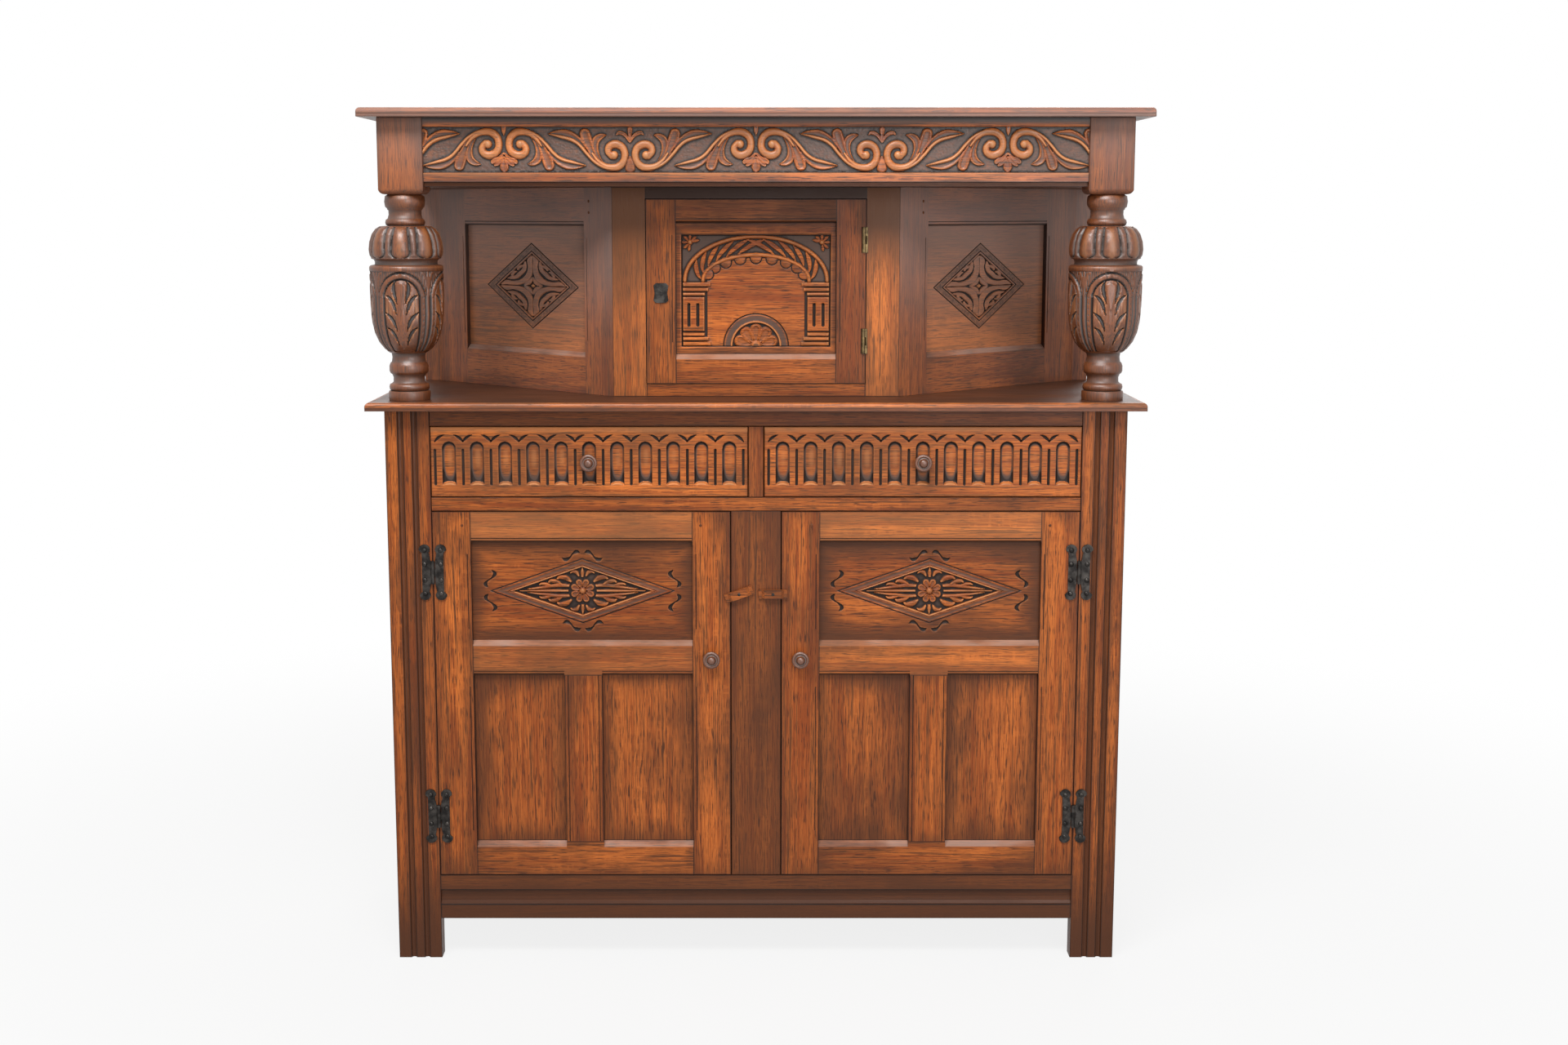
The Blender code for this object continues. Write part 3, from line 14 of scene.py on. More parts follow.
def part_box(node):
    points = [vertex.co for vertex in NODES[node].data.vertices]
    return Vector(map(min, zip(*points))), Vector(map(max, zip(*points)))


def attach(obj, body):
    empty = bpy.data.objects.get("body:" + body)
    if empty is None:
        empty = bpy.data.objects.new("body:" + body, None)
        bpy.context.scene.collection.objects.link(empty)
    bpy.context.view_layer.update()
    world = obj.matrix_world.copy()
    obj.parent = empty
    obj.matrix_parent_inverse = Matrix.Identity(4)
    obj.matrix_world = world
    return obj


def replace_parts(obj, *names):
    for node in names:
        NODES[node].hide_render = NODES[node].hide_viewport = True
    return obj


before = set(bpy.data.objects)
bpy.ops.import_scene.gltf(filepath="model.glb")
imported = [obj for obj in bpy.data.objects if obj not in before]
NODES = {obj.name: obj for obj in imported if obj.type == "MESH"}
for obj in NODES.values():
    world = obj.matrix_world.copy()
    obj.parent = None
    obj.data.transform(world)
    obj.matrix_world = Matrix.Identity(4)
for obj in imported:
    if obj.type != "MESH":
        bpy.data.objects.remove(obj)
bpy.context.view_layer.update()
MM = 0.001
SIDES = (("left", -1), ("right", 1))

# Camera, from the fit of the photograph (image 1920 x 1280)
LENS = 45.82
SENSOR = 36.0
CAMERA_PLACE = (0.0, -3.3263, 1.2101)
CAMERA_PITCH = 8.883
CAMERA_SHIFT = 0.01787

# Sizes shared with the part's source
PANEL_TONGUE = 0.006
PANEL_RELIEF = 0.006
DOOR_MUNTIN = 0.060
SIDE_RAIL = 0.070
REAR_POST_WIDTH = 0.026
REAR_POST_DEPTH = 0.031

# Oak, from the deep lines of the carving to worn edges and painted highlights
OAK_DEEP = (0.016, 0.009, 0.007)
# Grey-brown carved ground: soiling greyed by a painted sheen
OAK_GROUND = (0.074, 0.047, 0.037)
OAK_DARK = (0.070, 0.024, 0.010)
OAK_MID = (0.230, 0.049, 0.010)
OAK_LIGHT = (0.600, 0.160, 0.029)
# Worn wood, also used for painted highlights on ridges, crowns and edges
OAK_WORN_AND_HIGHLIGHT = (0.600, 0.250, 0.095)
# Grey dusting together with a painted sheen of reflected light
OAK_DUST_AND_SHEEN = (0.285, 0.212, 0.190)
# Painted sheen on sills that face up
OAK_SILL_SHEEN = (0.400, 0.280, 0.225)
RAW_DARK = (0.150, 0.066, 0.028)
RAW_LIGHT = (0.300, 0.150, 0.068)

# Tones painted on carved faces: 0 is deep ground and painted shade, 0.5 plain, 1 worn and painted highlight
GROUND, PLAIN = 0.0, 0.5
HOLLOW_TONE = 0.08
SIDE_TONE = 0.16


# Camera, light and floor

def look_at(obj, target):
    direction = Vector(target) - obj.location
    obj.rotation_euler = direction.to_track_quat("-Z", "Y").to_euler()


def add_object(name, data):
    obj = bpy.data.objects.new(name, data)
    bpy.context.scene.collection.objects.link(obj)
    return obj


def make_camera():
    data = bpy.data.cameras.new("camera")
    data.lens = LENS
    data.sensor_width = SENSOR
    data.sensor_fit = "HORIZONTAL"
    data.shift_x = CAMERA_SHIFT
    camera = add_object("camera", data)
    camera.location = CAMERA_PLACE
    camera.rotation_euler = (radians(90.0 - CAMERA_PITCH), 0.0, 0.0)
    bpy.context.scene.camera = camera


def make_lamp(name, place, size, power, target=(0.0, 0.0, 0.8)):
    data = bpy.data.lights.new(name, "AREA")
    data.shape = "RECTANGLE"
    data.size, data.size_y = size
    data.energy = power
    lamp = add_object(name, data)
    lamp.location = place
    look_at(lamp, target)


WORLD_LIGHT = 0.22
FLOOR_TINT = (0.55, 0.55, 0.54)
FLOOR_GLOW = 0.84
FLOOR_NEAR, FLOOR_FAR = 0.8, 2.6


def seen_directly(tree):
    """1 for rays that show the background itself, in the camera, a gloss or a glass; 0 for its light."""
    path = tree.nodes.new("ShaderNodeLightPath")
    found = path.outputs["Is Camera Ray"]
    for kind in ("Is Glossy Ray", "Is Transmission Ray"):
        either = tree.nodes.new("ShaderNodeMath")
        either.operation = "MAXIMUM"
        tree.links.new(found, either.inputs[0])
        tree.links.new(path.outputs[kind], either.inputs[1])
        found = either.outputs[0]
    return found


def make_world():
    world = bpy.data.worlds.new("studio")
    bpy.context.scene.world = world
    world.use_nodes = True
    tree = world.node_tree
    background = tree.nodes["Background"]
    background.inputs["Color"].default_value = (1.0, 1.0, 1.0, 1.0)
    strength = tree.nodes.new("ShaderNodeMapRange")
    strength.inputs["To Min"].default_value = WORLD_LIGHT
    strength.inputs["To Max"].default_value = 1.0
    tree.links.new(seen_directly(tree), strength.inputs["Value"])
    tree.links.new(strength.outputs["Result"], background.inputs["Strength"])


def make_floor():
    """Pale floor that keeps the shadow under the cupboard and turns white away from it."""
    bm = bmesh.new()
    bmesh.ops.create_grid(bm, x_segments=1, y_segments=1, size=40.0)
    mesh = bpy.data.meshes.new("floor")
    bm.to_mesh(mesh)
    bm.free()
    floor = add_object("floor", mesh)
    shader = Shader("pale floor")
    shader.set("Base Color", (*FLOOR_TINT, 1.0))
    shader.set("Roughness", 0.9)
    glow = shader.node("ShaderNodeEmission")
    glow.inputs["Color"].default_value = (1.0, 1.0, 1.0, 1.0)
    away = shader.node("ShaderNodeVectorMath", operation="LENGTH")
    shader.link(shader.node("ShaderNodeTexCoord").outputs["Object"], away.inputs[0])
    fade = shader.smooth(away.outputs["Value"], FLOOR_NEAR, FLOOR_FAR, FLOOR_GLOW, 1.0)
    share = shader.times(seen_directly(shader.tree), fade)
    blend = shader.node("ShaderNodeMixShader")
    shader.link(share, blend.inputs["Fac"])
    shader.link(shader.bsdf.outputs["BSDF"], blend.inputs[1])
    shader.link(glow.outputs["Emission"], blend.inputs[2])
    shader.link(blend.outputs["Shader"], shader.nodes["Material Output"].inputs["Surface"])
    mesh.materials.append(shader.material)


def make_studio():
    """Soft boxes high in front and behind, a white world and a pale floor."""
    bpy.context.scene.view_settings.view_transform = "Standard"
    make_lamp("key", (-0.6, -2.4, 3.8), (2.4, 1.3), 165.0)
    make_lamp("fill", (1.3, -3.8, 1.6), (2.0, 2.0), 60.0)
    make_lamp("rear", (0.4, 3.0, 2.8), (3.0, 1.5), 60.0)
    make_world()
    make_floor()


# Materials

class Shader:
    """Short names for building one material's nodes."""

    def __init__(self, name):
        self.material = bpy.data.materials.new(name)
        self.material.use_nodes = True
        self.tree = self.material.node_tree
        self.nodes = self.tree.nodes
        self.bsdf = self.nodes["Principled BSDF"]

    def node(self, kind, **settings):
        node = self.nodes.new(kind)
        for key, value in settings.items():
            setattr(node, key, value)
        return node

    def link(self, source, target):
        self.tree.links.new(source, target)

    def feed(self, socket, value):
        if isinstance(value, bpy.types.NodeSocket):
            self.link(value, socket)
        else:
            socket.default_value = value

    def set(self, name, value):
        self.feed(self.bsdf.inputs[name], value)

    def math(self, operation, a, b=0.0):
        node = self.node("ShaderNodeMath", operation=operation)
        self.feed(node.inputs[0], a)
        self.feed(node.inputs[1], b)
        return node.outputs[0]

    def plus(self, a, b):
        return self.math("ADD", a, b)

    def minus(self, a, b):
        return self.math("SUBTRACT", a, b)

    def times(self, a, b):
        return self.math("MULTIPLY", a, b)

    def vector_math(self, operation, a, b=(0.0, 0.0, 0.0)):
        node = self.node("ShaderNodeVectorMath", operation=operation)
        self.feed(node.inputs[0], a)
        self.feed(node.inputs[1], b)
        return node.outputs[0]

    def split(self, vector):
        node = self.node("ShaderNodeSeparateXYZ")
        self.link(vector, node.inputs[0])
        return node.outputs

    def combine(self, *values):
        node = self.node("ShaderNodeCombineXYZ")
        for socket, value in zip(node.inputs, values):
            self.link(value, socket)
        return node.outputs[0]

    def mix(self, share, a, b):
        """Colour a turning into colour b."""
        node = self.node("ShaderNodeMix", data_type="RGBA")
        self.feed(node.inputs["Factor"], share)
        self.feed(node.inputs[6], a if isinstance(a, bpy.types.NodeSocket) else (*a, 1.0))
        self.feed(node.inputs[7], b if isinstance(b, bpy.types.NodeSocket) else (*b, 1.0))
        return node.outputs[2]

    def smooth(self, value, low, high, to_low=0.0, to_high=1.0):
        node = self.node("ShaderNodeMapRange", interpolation_type="SMOOTHSTEP")
        self.feed(node.inputs["Value"], value)
        for key, number in zip(("From Min", "From Max", "To Min", "To Max"), (low, high, to_low, to_high)):
            self.feed(node.inputs[key], number)
        return node.outputs["Result"]

    def tint(self, colour, other, value, *span):
        """Colour turning into another one as a value runs through a span."""
        return self.mix(self.smooth(value, *span), colour, other)

    def noise(self, place, stretch, detail=3.0, roughness=0.55, distortion=0.0):
        node = self.node("ShaderNodeTexNoise")
        self.feed(node.inputs["Vector"], self.vector_math("MULTIPLY", place, stretch))
        node.inputs["Scale"].default_value = 1.0
        node.inputs["Detail"].default_value = detail
        node.inputs["Roughness"].default_value = roughness
        node.inputs["Distortion"].default_value = distortion
        return node.outputs["Fac"]

    def bump(self, height, strength, distance):
        node = self.node("ShaderNodeBump")
        node.inputs["Strength"].default_value = strength
        node.inputs["Distance"].default_value = distance
        self.link(height, node.inputs["Height"])
        self.set("Normal", node.outputs["Normal"])


class Member:
    """One board of a piece: its corners in the piece's own frame, the axis of its fibres and its shade.

    The shade runs from -1, pale, over 0, plain, and 1, dark, to 2, black. On most boards it is the wood's own
    colour; on some boards it also carries painted shade, and on a few painted light, as marked where they are
    given.
    """

    def __init__(self, low, high, axis, shade=0.0):
        self.middle = (Vector(low) + Vector(high)) / 2
        self.half = (Vector(high) - Vector(low)) / 2
        self.axis = axis
        self.shade = shade


BOARD_SLACK = 0.0008
BOARD_SHIFT = 0.61


def board_depth(shader, coordinates, member):
    """Whether a point belongs to a board, and how far it lies inside the edges of the face it is on."""
    away = shader.vector_math("ABSOLUTE", shader.vector_math("SUBTRACT", coordinates, member.middle))
    a, b, c = shader.split(shader.vector_math("SUBTRACT", member.half, away))
    less, more = shader.math("MINIMUM", a, b), shader.math("MAXIMUM", a, b)
    second = shader.math("MAXIMUM", less, shader.math("MINIMUM", more, c))
    belongs = shader.math("GREATER_THAN", shader.math("MINIMUM", less, c), -BOARD_SLACK)
    return belongs, second


def chosen(shader, masks, values):
    """The value whose mask is 1."""
    total = None
    for mask, value in zip(masks, values):
        part = shader.times(mask, value)
        total = part if total is None else shader.plus(total, part)
    return total


def board_place(shader, members, frame_matrix=None):
    """Fibre coordinates of a piece, the depth inside its boards' edges, their shades, and its own X, Y, Z."""
    coordinates = shader.node("ShaderNodeTexCoord").outputs["Object"]
    if frame_matrix is not None:
        mapping = shader.node("ShaderNodeMapping", vector_type="POINT")
        inverse = frame_matrix.inverted()
        mapping.inputs["Location"].default_value = inverse.to_translation()
        mapping.inputs["Rotation"].default_value = inverse.to_euler()
        shader.link(coordinates, mapping.inputs["Vector"])
        coordinates = mapping.outputs["Vector"]
    own = shader.split(coordinates)
    x, y, z = own
    along = {"X": coordinates, "Y": shader.combine(y, x, z), "Z": shader.combine(z, y, x)}
    masks, depths = zip(*(board_depth(shader, coordinates, member) for member in members))
    place = along[members[0].axis]
    for axis in sorted({member.axis for member in members} - {members[0].axis}):
        blend = shader.node("ShaderNodeMix", data_type="VECTOR")
        turned = [float(member.axis == axis) for member in members]
        shader.link(chosen(shader, masks, turned), blend.inputs["Factor"])
        shader.link(place, blend.inputs[4])
        shader.link(along[axis], blend.inputs[5])
        place = blend.outputs[1]
    if len(members) > 1:
        shifts = [BOARD_SHIFT * k for k in range(len(members))]
        place = shader.vector_math("ADD", place, chosen(shader, masks, shifts))
    shade = chosen(shader, masks, [member.shade for member in members])
    return place, chosen(shader, masks, depths), shade, own


# Noises of the oak: stretch along and across the fibres, detail, roughness, distortion
FIGURE = ((1.5, 30.0, 30.0), 5.0, 0.62, 0.5)
STREAKS = ((6.0, 300.0, 300.0), 3.0, 0.65)
PORES = ((40.0, 800.0, 800.0), 2.0, 0.5)
CLOUDS = ((5.0, 11.0, 11.0), 4.0, 0.6)
RAYS = ((75.0, 16.0, 16.0), 2.0, 0.5, 1.0)
RAW_FIGURE = ((1.6, 26.0, 26.0), 5.0, 0.65, 0.6)
RAW_FIBRES = ((10.0, 420.0, 420.0), 3.0, 0.65)
RAW_CLOUDS = ((3.0, 6.0, 6.0), 4.0, 0.6)

# Ranges: where a value starts and ends, and what it becomes at both ends (0 and 1 if not given)
LIGHT_GRAIN = (0.41, 0.58)
LIT_FIGURE = (0.48, 0.58, 0.0, 0.5)
BRIGHT_RAYS = (0.52, 0.62)
DARK_STREAKS = (0.51, 0.65, 0.0, 0.85)
DARK_CLOUDS = (0.44, 0.72, 0.0, 0.7)
OPEN_PORES = (0.54, 0.64, 0.0, 0.75)
SUNK_PORES = (0.56, 0.7, 0.0, -0.6)
POLISH = (0.3, 0.8, 0.34, 0.50)
BOARD_LINE = (0.0002, 0.0016, 0.75, 0.0)
MOULDING_START = (0.0004, 0.0016)
MOULDING_END = (0.0095, 0.0125, 1.0, 0.0)
FRAME_EDGE = (0.001, 0.003)
HEAD_SHADOW = (0.1, 0.4, 0.85, 0.0)
SILL_SHEEN = (0.1, 0.4, 0.0, 0.5)
SILL_SHEEN_PATCHES = (0.40, 0.60, 1.0, 0.2)
TONE_GROUND = (0.10, 0.45, 1.0, 0.0)
TONE_DEEP = (0.0, 0.12, 1.0, 0.0)
TONE_WEAR_AND_HIGHLIGHT = (0.55, 1.0, 0.0, 0.75)
TONE_ROUGH = (0.0, 0.4, 0.16, 0.0)
RAW_GRAIN = (0.32, 0.68)
RAW_STREAKS = (0.46, 0.64, 0.0, 0.8)
RAW_STAINS = (0.48, 0.78, 0.0, 0.5)
RAW_LINE = (0.0004, 0.0020, 0.9, 0.0)
RAW_POLISH = (0.3, 0.8, 0.66, 0.82)

GRAIN_SHARES = (0.4, 0.6)
TONE_UNEVEN = 0.2
FULL_SHADE = 0.82
# Darker towards the floor: soiling and painted shade
FOOT_GRIME_AND_SHADE = (0.02, 0.22, 0.95, 0.0)
# Darker up under the canopy: painted shadow of the canopy, with some soiling
CANOPY_SHADE_AND_GRIME = (1.06, 1.20, 0.0, 1.0)
# Grey dusting and painted sheen, growing with height: on the blocks and the cornice, and on the wings
CANOPY_DUST_AND_SHEEN = (1.22, 1.35, 0.10, 0.35)
WING_DUST_AND_SHEEN = (0.97, 1.20, 0.12, 0.62)


def oak_colour(shader, place, noises):
    """Fibres between dark and light, with rays, dark streaks, stains and open pores."""
    figure, streaks, pores, clouds = noises
    rays = shader.noise(place, *RAYS)
    grain = shader.plus(shader.times(figure, GRAIN_SHARES[0]), shader.times(streaks, GRAIN_SHARES[1]))
    colour = shader.tint(OAK_MID, OAK_LIGHT, grain, *LIGHT_GRAIN)
    lit = shader.smooth(figure, *LIT_FIGURE)
    colour = shader.mix(shader.times(shader.smooth(rays, *BRIGHT_RAYS), lit), colour, OAK_LIGHT)
    colour = shader.tint(colour, OAK_DARK, streaks, *DARK_STREAKS)
    colour = shader.tint(colour, OAK_DARK, clouds, *DARK_CLOUDS)
    return shader.tint(colour, OAK_DEEP, pores, *OPEN_PORES)


def sunk_share(shader, place, face):
    """Where mouldings are cut back from a face: the share of painted shadow on heads and jambs, and that of
    painted sheen on sills.

    The face is its level in Y, the way into it along Y, and the outer corners of its frame.
    """
    level, inward, low, high = face
    back = shader.times(shader.minus(place[1], level), inward)
    window = shader.times(shader.smooth(back, *MOULDING_START), shader.smooth(back, *MOULDING_END))
    for k in (0, 2):
        inside = shader.math("MINIMUM", shader.minus(place[k], low[k]), shader.minus(high[k], place[k]))
        window = shader.times(window, shader.smooth(inside, *FRAME_EDGE))
    upward = shader.split(shader.node("ShaderNodeNewGeometry").outputs["Normal"])[2]
    return [shader.times(window, shader.smooth(upward, *span)) for span in (HEAD_SHADOW, SILL_SHEEN)]


def carved_tone(shader, colour, clouds):
    """Colour of a carved face: soiled ground and painted shade where its tone is low, wear and painted
    highlight where it is high.
    """
    tone = shader.node("ShaderNodeAttribute", attribute_name="tone").outputs["Fac"]
    drift = shader.times(shader.minus(clouds, 0.5), TONE_UNEVEN)
    uneven = shader.plus(tone, drift)
    colour = shader.tint(colour, OAK_GROUND, uneven, *TONE_GROUND)
    colour = shader.tint(colour, OAK_DEEP, uneven, *TONE_DEEP)
    colour = shader.tint(colour, OAK_WORN_AND_HIGHLIGHT, uneven, *TONE_WEAR_AND_HIGHLIGHT)
    return colour, shader.smooth(tone, *TONE_ROUGH)


def oak(name, members, seed, edge=0.014, edge_depth=0.5, dust_and_sheen=None, line=OAK_DEEP, carved=False, gloss=0.2,
        grime_and_shade=FOOT_GRIME_AND_SHADE, face=None, frame_matrix=None):
    """Polished oak, darker towards the edges of each board and the floor, toned where it is carved."""
    shader = Shader(name)
    place, depth, shade, own = board_place(shader, members, frame_matrix)
    place = shader.vector_math("ADD", place, (seed * 1.7, seed * 0.9, seed * 1.3))
    figure, streaks, pores, clouds = (shader.noise(place, *kind) for kind in (FIGURE, STREAKS, PORES, CLOUDS))
    colour = oak_colour(shader, place, (figure, streaks, pores, clouds))
    # Darker towards each board's edges: the antiqued finish together with painted shade in corners and
    # recesses
    near = shader.plus(depth, shader.times(clouds, -edge))
    colour = shader.tint(colour, OAK_DARK, near, -edge / 2, edge, edge_depth, 0.0)
    # Darker by height over the range given: soiling and painted shade
    colour = shader.tint(colour, OAK_DARK, own[2], *grime_and_shade)
    # The boards' shades: their own colour, with painted shade and painted light on some boards
    colour = shader.mix(shader.math("MINIMUM", shade, FULL_SHADE), colour, OAK_DARK)
    colour = shader.mix(shader.minus(shade, 1.0), colour, OAK_DEEP)
    colour = shader.mix(shader.times(shade, -1.0), colour, OAK_WORN_AND_HIGHLIGHT)
    # Grey dusting and painted sheen, growing with height
    if dust_and_sheen:
        colour = shader.tint(colour, OAK_DUST_AND_SHEEN, own[2], *dust_and_sheen)
    if face:
        # Painted shadow in the mouldings cut back from the face, painted sheen on their upward sills
        shadow, sill_sheen = sunk_share(shader, own, face)
        sill_sheen = shader.times(sill_sheen, shader.smooth(clouds, *SILL_SHEEN_PATCHES))
        colour = shader.mix(sill_sheen, shader.mix(shadow, colour, OAK_DEEP), OAK_SILL_SHEEN)
    colour = shader.tint(colour, line, depth, *BOARD_LINE)
    roughness = shader.smooth(clouds, *POLISH)
    if carved:
        colour, rougher = carved_tone(shader, colour, clouds)
        roughness = shader.plus(roughness, rougher)
    shader.set("Base Color", colour)
    shader.set("Roughness", roughness)
    shader.set("Specular IOR Level", gloss)
    shader.bump(shader.plus(streaks, shader.smooth(pores, *SUNK_PORES)), 0.25, 0.0004)
    return shader.material


def raw_oak(name, members, seed):
    """Unpolished oak of the insides and the back."""
    shader = Shader(name)
    place, depth, shade, _ = board_place(shader, members)
    place = shader.vector_math("ADD", place, (seed, seed * 0.7, seed * 1.9))
    figure, fibres, clouds = (shader.noise(place, *kind) for kind in (RAW_FIGURE, RAW_FIBRES, RAW_CLOUDS))
    colour = shader.tint(RAW_DARK, RAW_LIGHT, figure, *RAW_GRAIN)
    colour = shader.tint(colour, RAW_DARK, fibres, *RAW_STREAKS)
    colour = shader.tint(colour, OAK_DARK, clouds, *RAW_STAINS)
    colour = shader.mix(shade, colour, OAK_DARK)
    colour = shader.tint(colour, OAK_DEEP, depth, *RAW_LINE)
    shader.set("Base Color", colour)
    shader.set("Roughness", shader.smooth(clouds, *RAW_POLISH))
    shader.set("Specular IOR Level", 0.2)
    shader.bump(fibres, 0.35, 0.0005)
    return shader.material


def metal(name, dark, light, rough, bump=0.25, scale=260.0):
    """Old metal: mottled, worn lighter in patches, slightly pitted."""
    shader = Shader(name)
    place = shader.node("ShaderNodeTexCoord").outputs["Object"]
    patches = shader.noise(place, (scale / 3,) * 3, 4.0, 0.6)
    pits = shader.noise(place, (scale * 4,) * 3, 3.0, 0.6)
    shader.set("Base Color", shader.mix(shader.smooth(patches, 0.35, 0.7), dark, light))
    shader.set("Metallic", 0.9)
    shader.set("Roughness", shader.smooth(pits, 0.3, 0.7, rough, rough + 0.22))
    shader.bump(shader.plus(pits, patches), bump, 0.0004)
    return shader.material


# Carving toolkit. A cut is the rise, hollow and tone of a stroke, or the depth and tone of a gouge

STEP = 0.8
FINE_STEP = 0.7
FAR = 9.0


def unit(values):
    """Values held between 0 and 1."""
    return np.clip(values, 0.0, 1.0)


def smooth_line(points, steps=6):
    """Catmull-Rom line through control points; any further columns, such as widths, go along."""
    points = np.asarray(points, float)
    ends = np.vstack([2 * points[0] - points[1], points, 2 * points[-1] - points[-2]])
    rows = []
    for k in range(len(points) - 1):
        a, b, c, d = ends[k:k + 4]
        t = np.linspace(0.0, 1.0, steps, endpoint=False)[:, None]
        rows.append(0.5 * (2 * b + (c - a) * t + (2 * a - 5 * b + 4 * c - d) * t**2
                           + (3 * b - a - 3 * c + d) * t**3))
    rows.append(points[-1:])
    return np.vstack(rows)


def blurred(field, reach):
    """Gaussian blur; reach is the standard deviation in cells."""
    span = int(3 * reach) + 1
    weights = np.exp(-0.5 * (np.arange(-span, span + 1) / reach)**2)
    weights /= weights.sum()
    for axis in (0, 1):
        padded = np.pad(field, [(span, span) if k == axis else (0, 0) for k in (0, 1)], mode="edge")
        field = np.apply_along_axis(np.convolve, axis, padded, weights, "valid")
    return field


class Carving:
    """Height field in millimetres: X across, Y up, heights towards the viewer."""

    def __init__(self, x0, x1, y0, y1, step):
        self.step = step
        self.xs = np.linspace(x0, x1, max(2, round((x1 - x0) / step)) + 1)
        self.ys = np.linspace(y0, y1, max(2, round((y1 - y0) / step)) + 1)
        self.x, self.y = np.meshgrid(self.xs, self.ys)
        self.height = np.zeros_like(self.x)
        self.tone = np.full_like(self.x, PLAIN)

    def share(self, line):
        """How far each point lies from a line of varying half-width: 0 on it, 1 at its edge."""
        found = np.full_like(self.x, FAR)
        for (ax, ay, aw), (bx, by, bw) in zip(line[:-1], line[1:]):
            reach = max(aw, bw)
            i0, i1 = np.searchsorted(self.xs, (min(ax, bx) - reach, max(ax, bx) + reach))
            j0, j1 = np.searchsorted(self.ys, (min(ay, by) - reach, max(ay, by) + reach))
            if i0 == i1 or j0 == j1:
                continue
            window = np.s_[j0:j1, i0:i1]
            x, y = self.x[window], self.y[window]
            length = max((bx - ax)**2 + (by - ay)**2, 1e-9)
            t = unit(((x - ax) * (bx - ax) + (y - ay) * (by - ay)) / length)
            away = np.hypot(x - ax - t * (bx - ax), y - ay - t * (by - ay))
            found[window] = np.minimum(found[window], away / np.maximum(aw + t * (bw - aw), 1e-3))
        return found

    def lay(self, where, height, tone):
        """New height and tone where a mask holds."""
        self.height = np.where(where, height, self.height)
        self.tone = np.where(where, tone, self.tone)

    def raise_by(self, share, floor, rise, hollow=0.0, tone=PLAIN):
        """Rounded bar where share is below 1, dished by hollow, over what stands there already."""
        crown = np.sqrt(unit(1.0 - share**2))
        dish = np.exp(-(share / 0.58)**4)
        shape = floor + rise * crown - hollow * dish
        higher = (share < 1.0) & (floor + rise * crown > self.height)
        # Dished middles and the sides of a bar darker: soiling and painted shade
        dirt_and_shade = HOLLOW_TONE * min(hollow, 2.5) * dish + SIDE_TONE * share**4
        self.lay(higher, shape, tone - dirt_and_shade)

    def stroke(self, points, floor, rise, hollow=0.0, tone=PLAIN):
        self.raise_by(self.share(smooth_line(points)), floor, rise, hollow, tone)

    def dome(self, x, y, radius, floor, rise, tone=PLAIN):
        self.raise_by(np.hypot(self.x - x, self.y - y) / radius, floor, rise, tone=tone)

    def cut(self, share, depth, tone=GROUND):
        """Rounded groove where share is below 1."""
        crown = np.sqrt(unit(1.0 - share**2))
        self.height = self.height - depth * crown
        self.tone = self.tone + (tone - self.tone) * unit(crown * 1.5)

    def gouge(self, points, depth, tone=GROUND):
        self.cut(self.share(smooth_line(points)), depth, tone)

    def block(self, x0, x1, y0, y1, height, tone=PLAIN, ease=0.9):
        """Raised rectangle with eased edges."""
        inside = np.minimum(np.minimum(self.x - x0, x1 - self.x), np.minimum(self.y - y0, y1 - self.y))
        level = unit(inside / ease)
        shape = height * np.sqrt(level) + self.height * (1 - np.sqrt(level))
        self.lay(inside > 0, np.maximum(self.height, shape), tone)

    def stipple(self, where, depth, seed):
        """Punched ground."""
        marks = blurred(np.random.default_rng(seed).random(self.x.shape), 0.8) * 2 - 0.5
        self.lay(where, self.height - depth * marks, self.tone + 0.25 * (marks - 0.5))

    def weather_and_shading(self, reach=2.0, gain=0.30):
        """Darker in the hollows, lighter on the ridges: soiling and wear, with painted shade and painted
        highlight.
        """
        relief = self.height - blurred(self.height, reach / self.step)
        self.tone = unit(self.tone + np.clip(relief * gain, -0.40, 0.38))

    def ease(self, width):
        """Outer arrises rounded over."""
        inside = np.minimum(np.minimum(self.x - self.xs[0], self.xs[-1] - self.x),
                            np.minimum(self.y - self.ys[0], self.ys[-1] - self.y))
        fall = 1.0 - unit(inside / width)
        self.height = self.height - width * (1.0 - np.sqrt(1.0 - fall**2))


def carved_board(name, carving, place, thickness, material, keep):
    """Closed board whose front is the carving; place maps X, Y and height to the frame."""
    rows, columns = carving.x.shape
    x0, x1, y0, y1 = carving.xs[0], carving.xs[-1], carving.ys[0], carving.ys[-1]
    front = np.stack([carving.x, carving.y, carving.height], -1).reshape(-1, 3)
    rear = [(x0, y0, -thickness), (x1, y0, -thickness), (x1, y1, -thickness), (x0, y1, -thickness)]
    points = np.vstack([front, rear]) * MM
    index = np.arange(rows * columns).reshape(rows, columns)
    quads = np.stack([index[:-1, :-1], index[:-1, 1:], index[1:, 1:], index[1:, :-1]], -1).reshape(-1, 4)
    a, b, c, d = range(rows * columns, rows * columns + 4)
    faces = quads.tolist()
    faces += [[a, b, *index[0, ::-1]], [b, c, *index[::-1, -1]], [c, d, *index[-1]], [d, a, *index[:, 0]],
              [d, c, b, a]]
    tones = np.append(carving.tone.ravel(), [PLAIN] * 4)
    return carved_piece(name, points, faces, tones, place, material, keep)


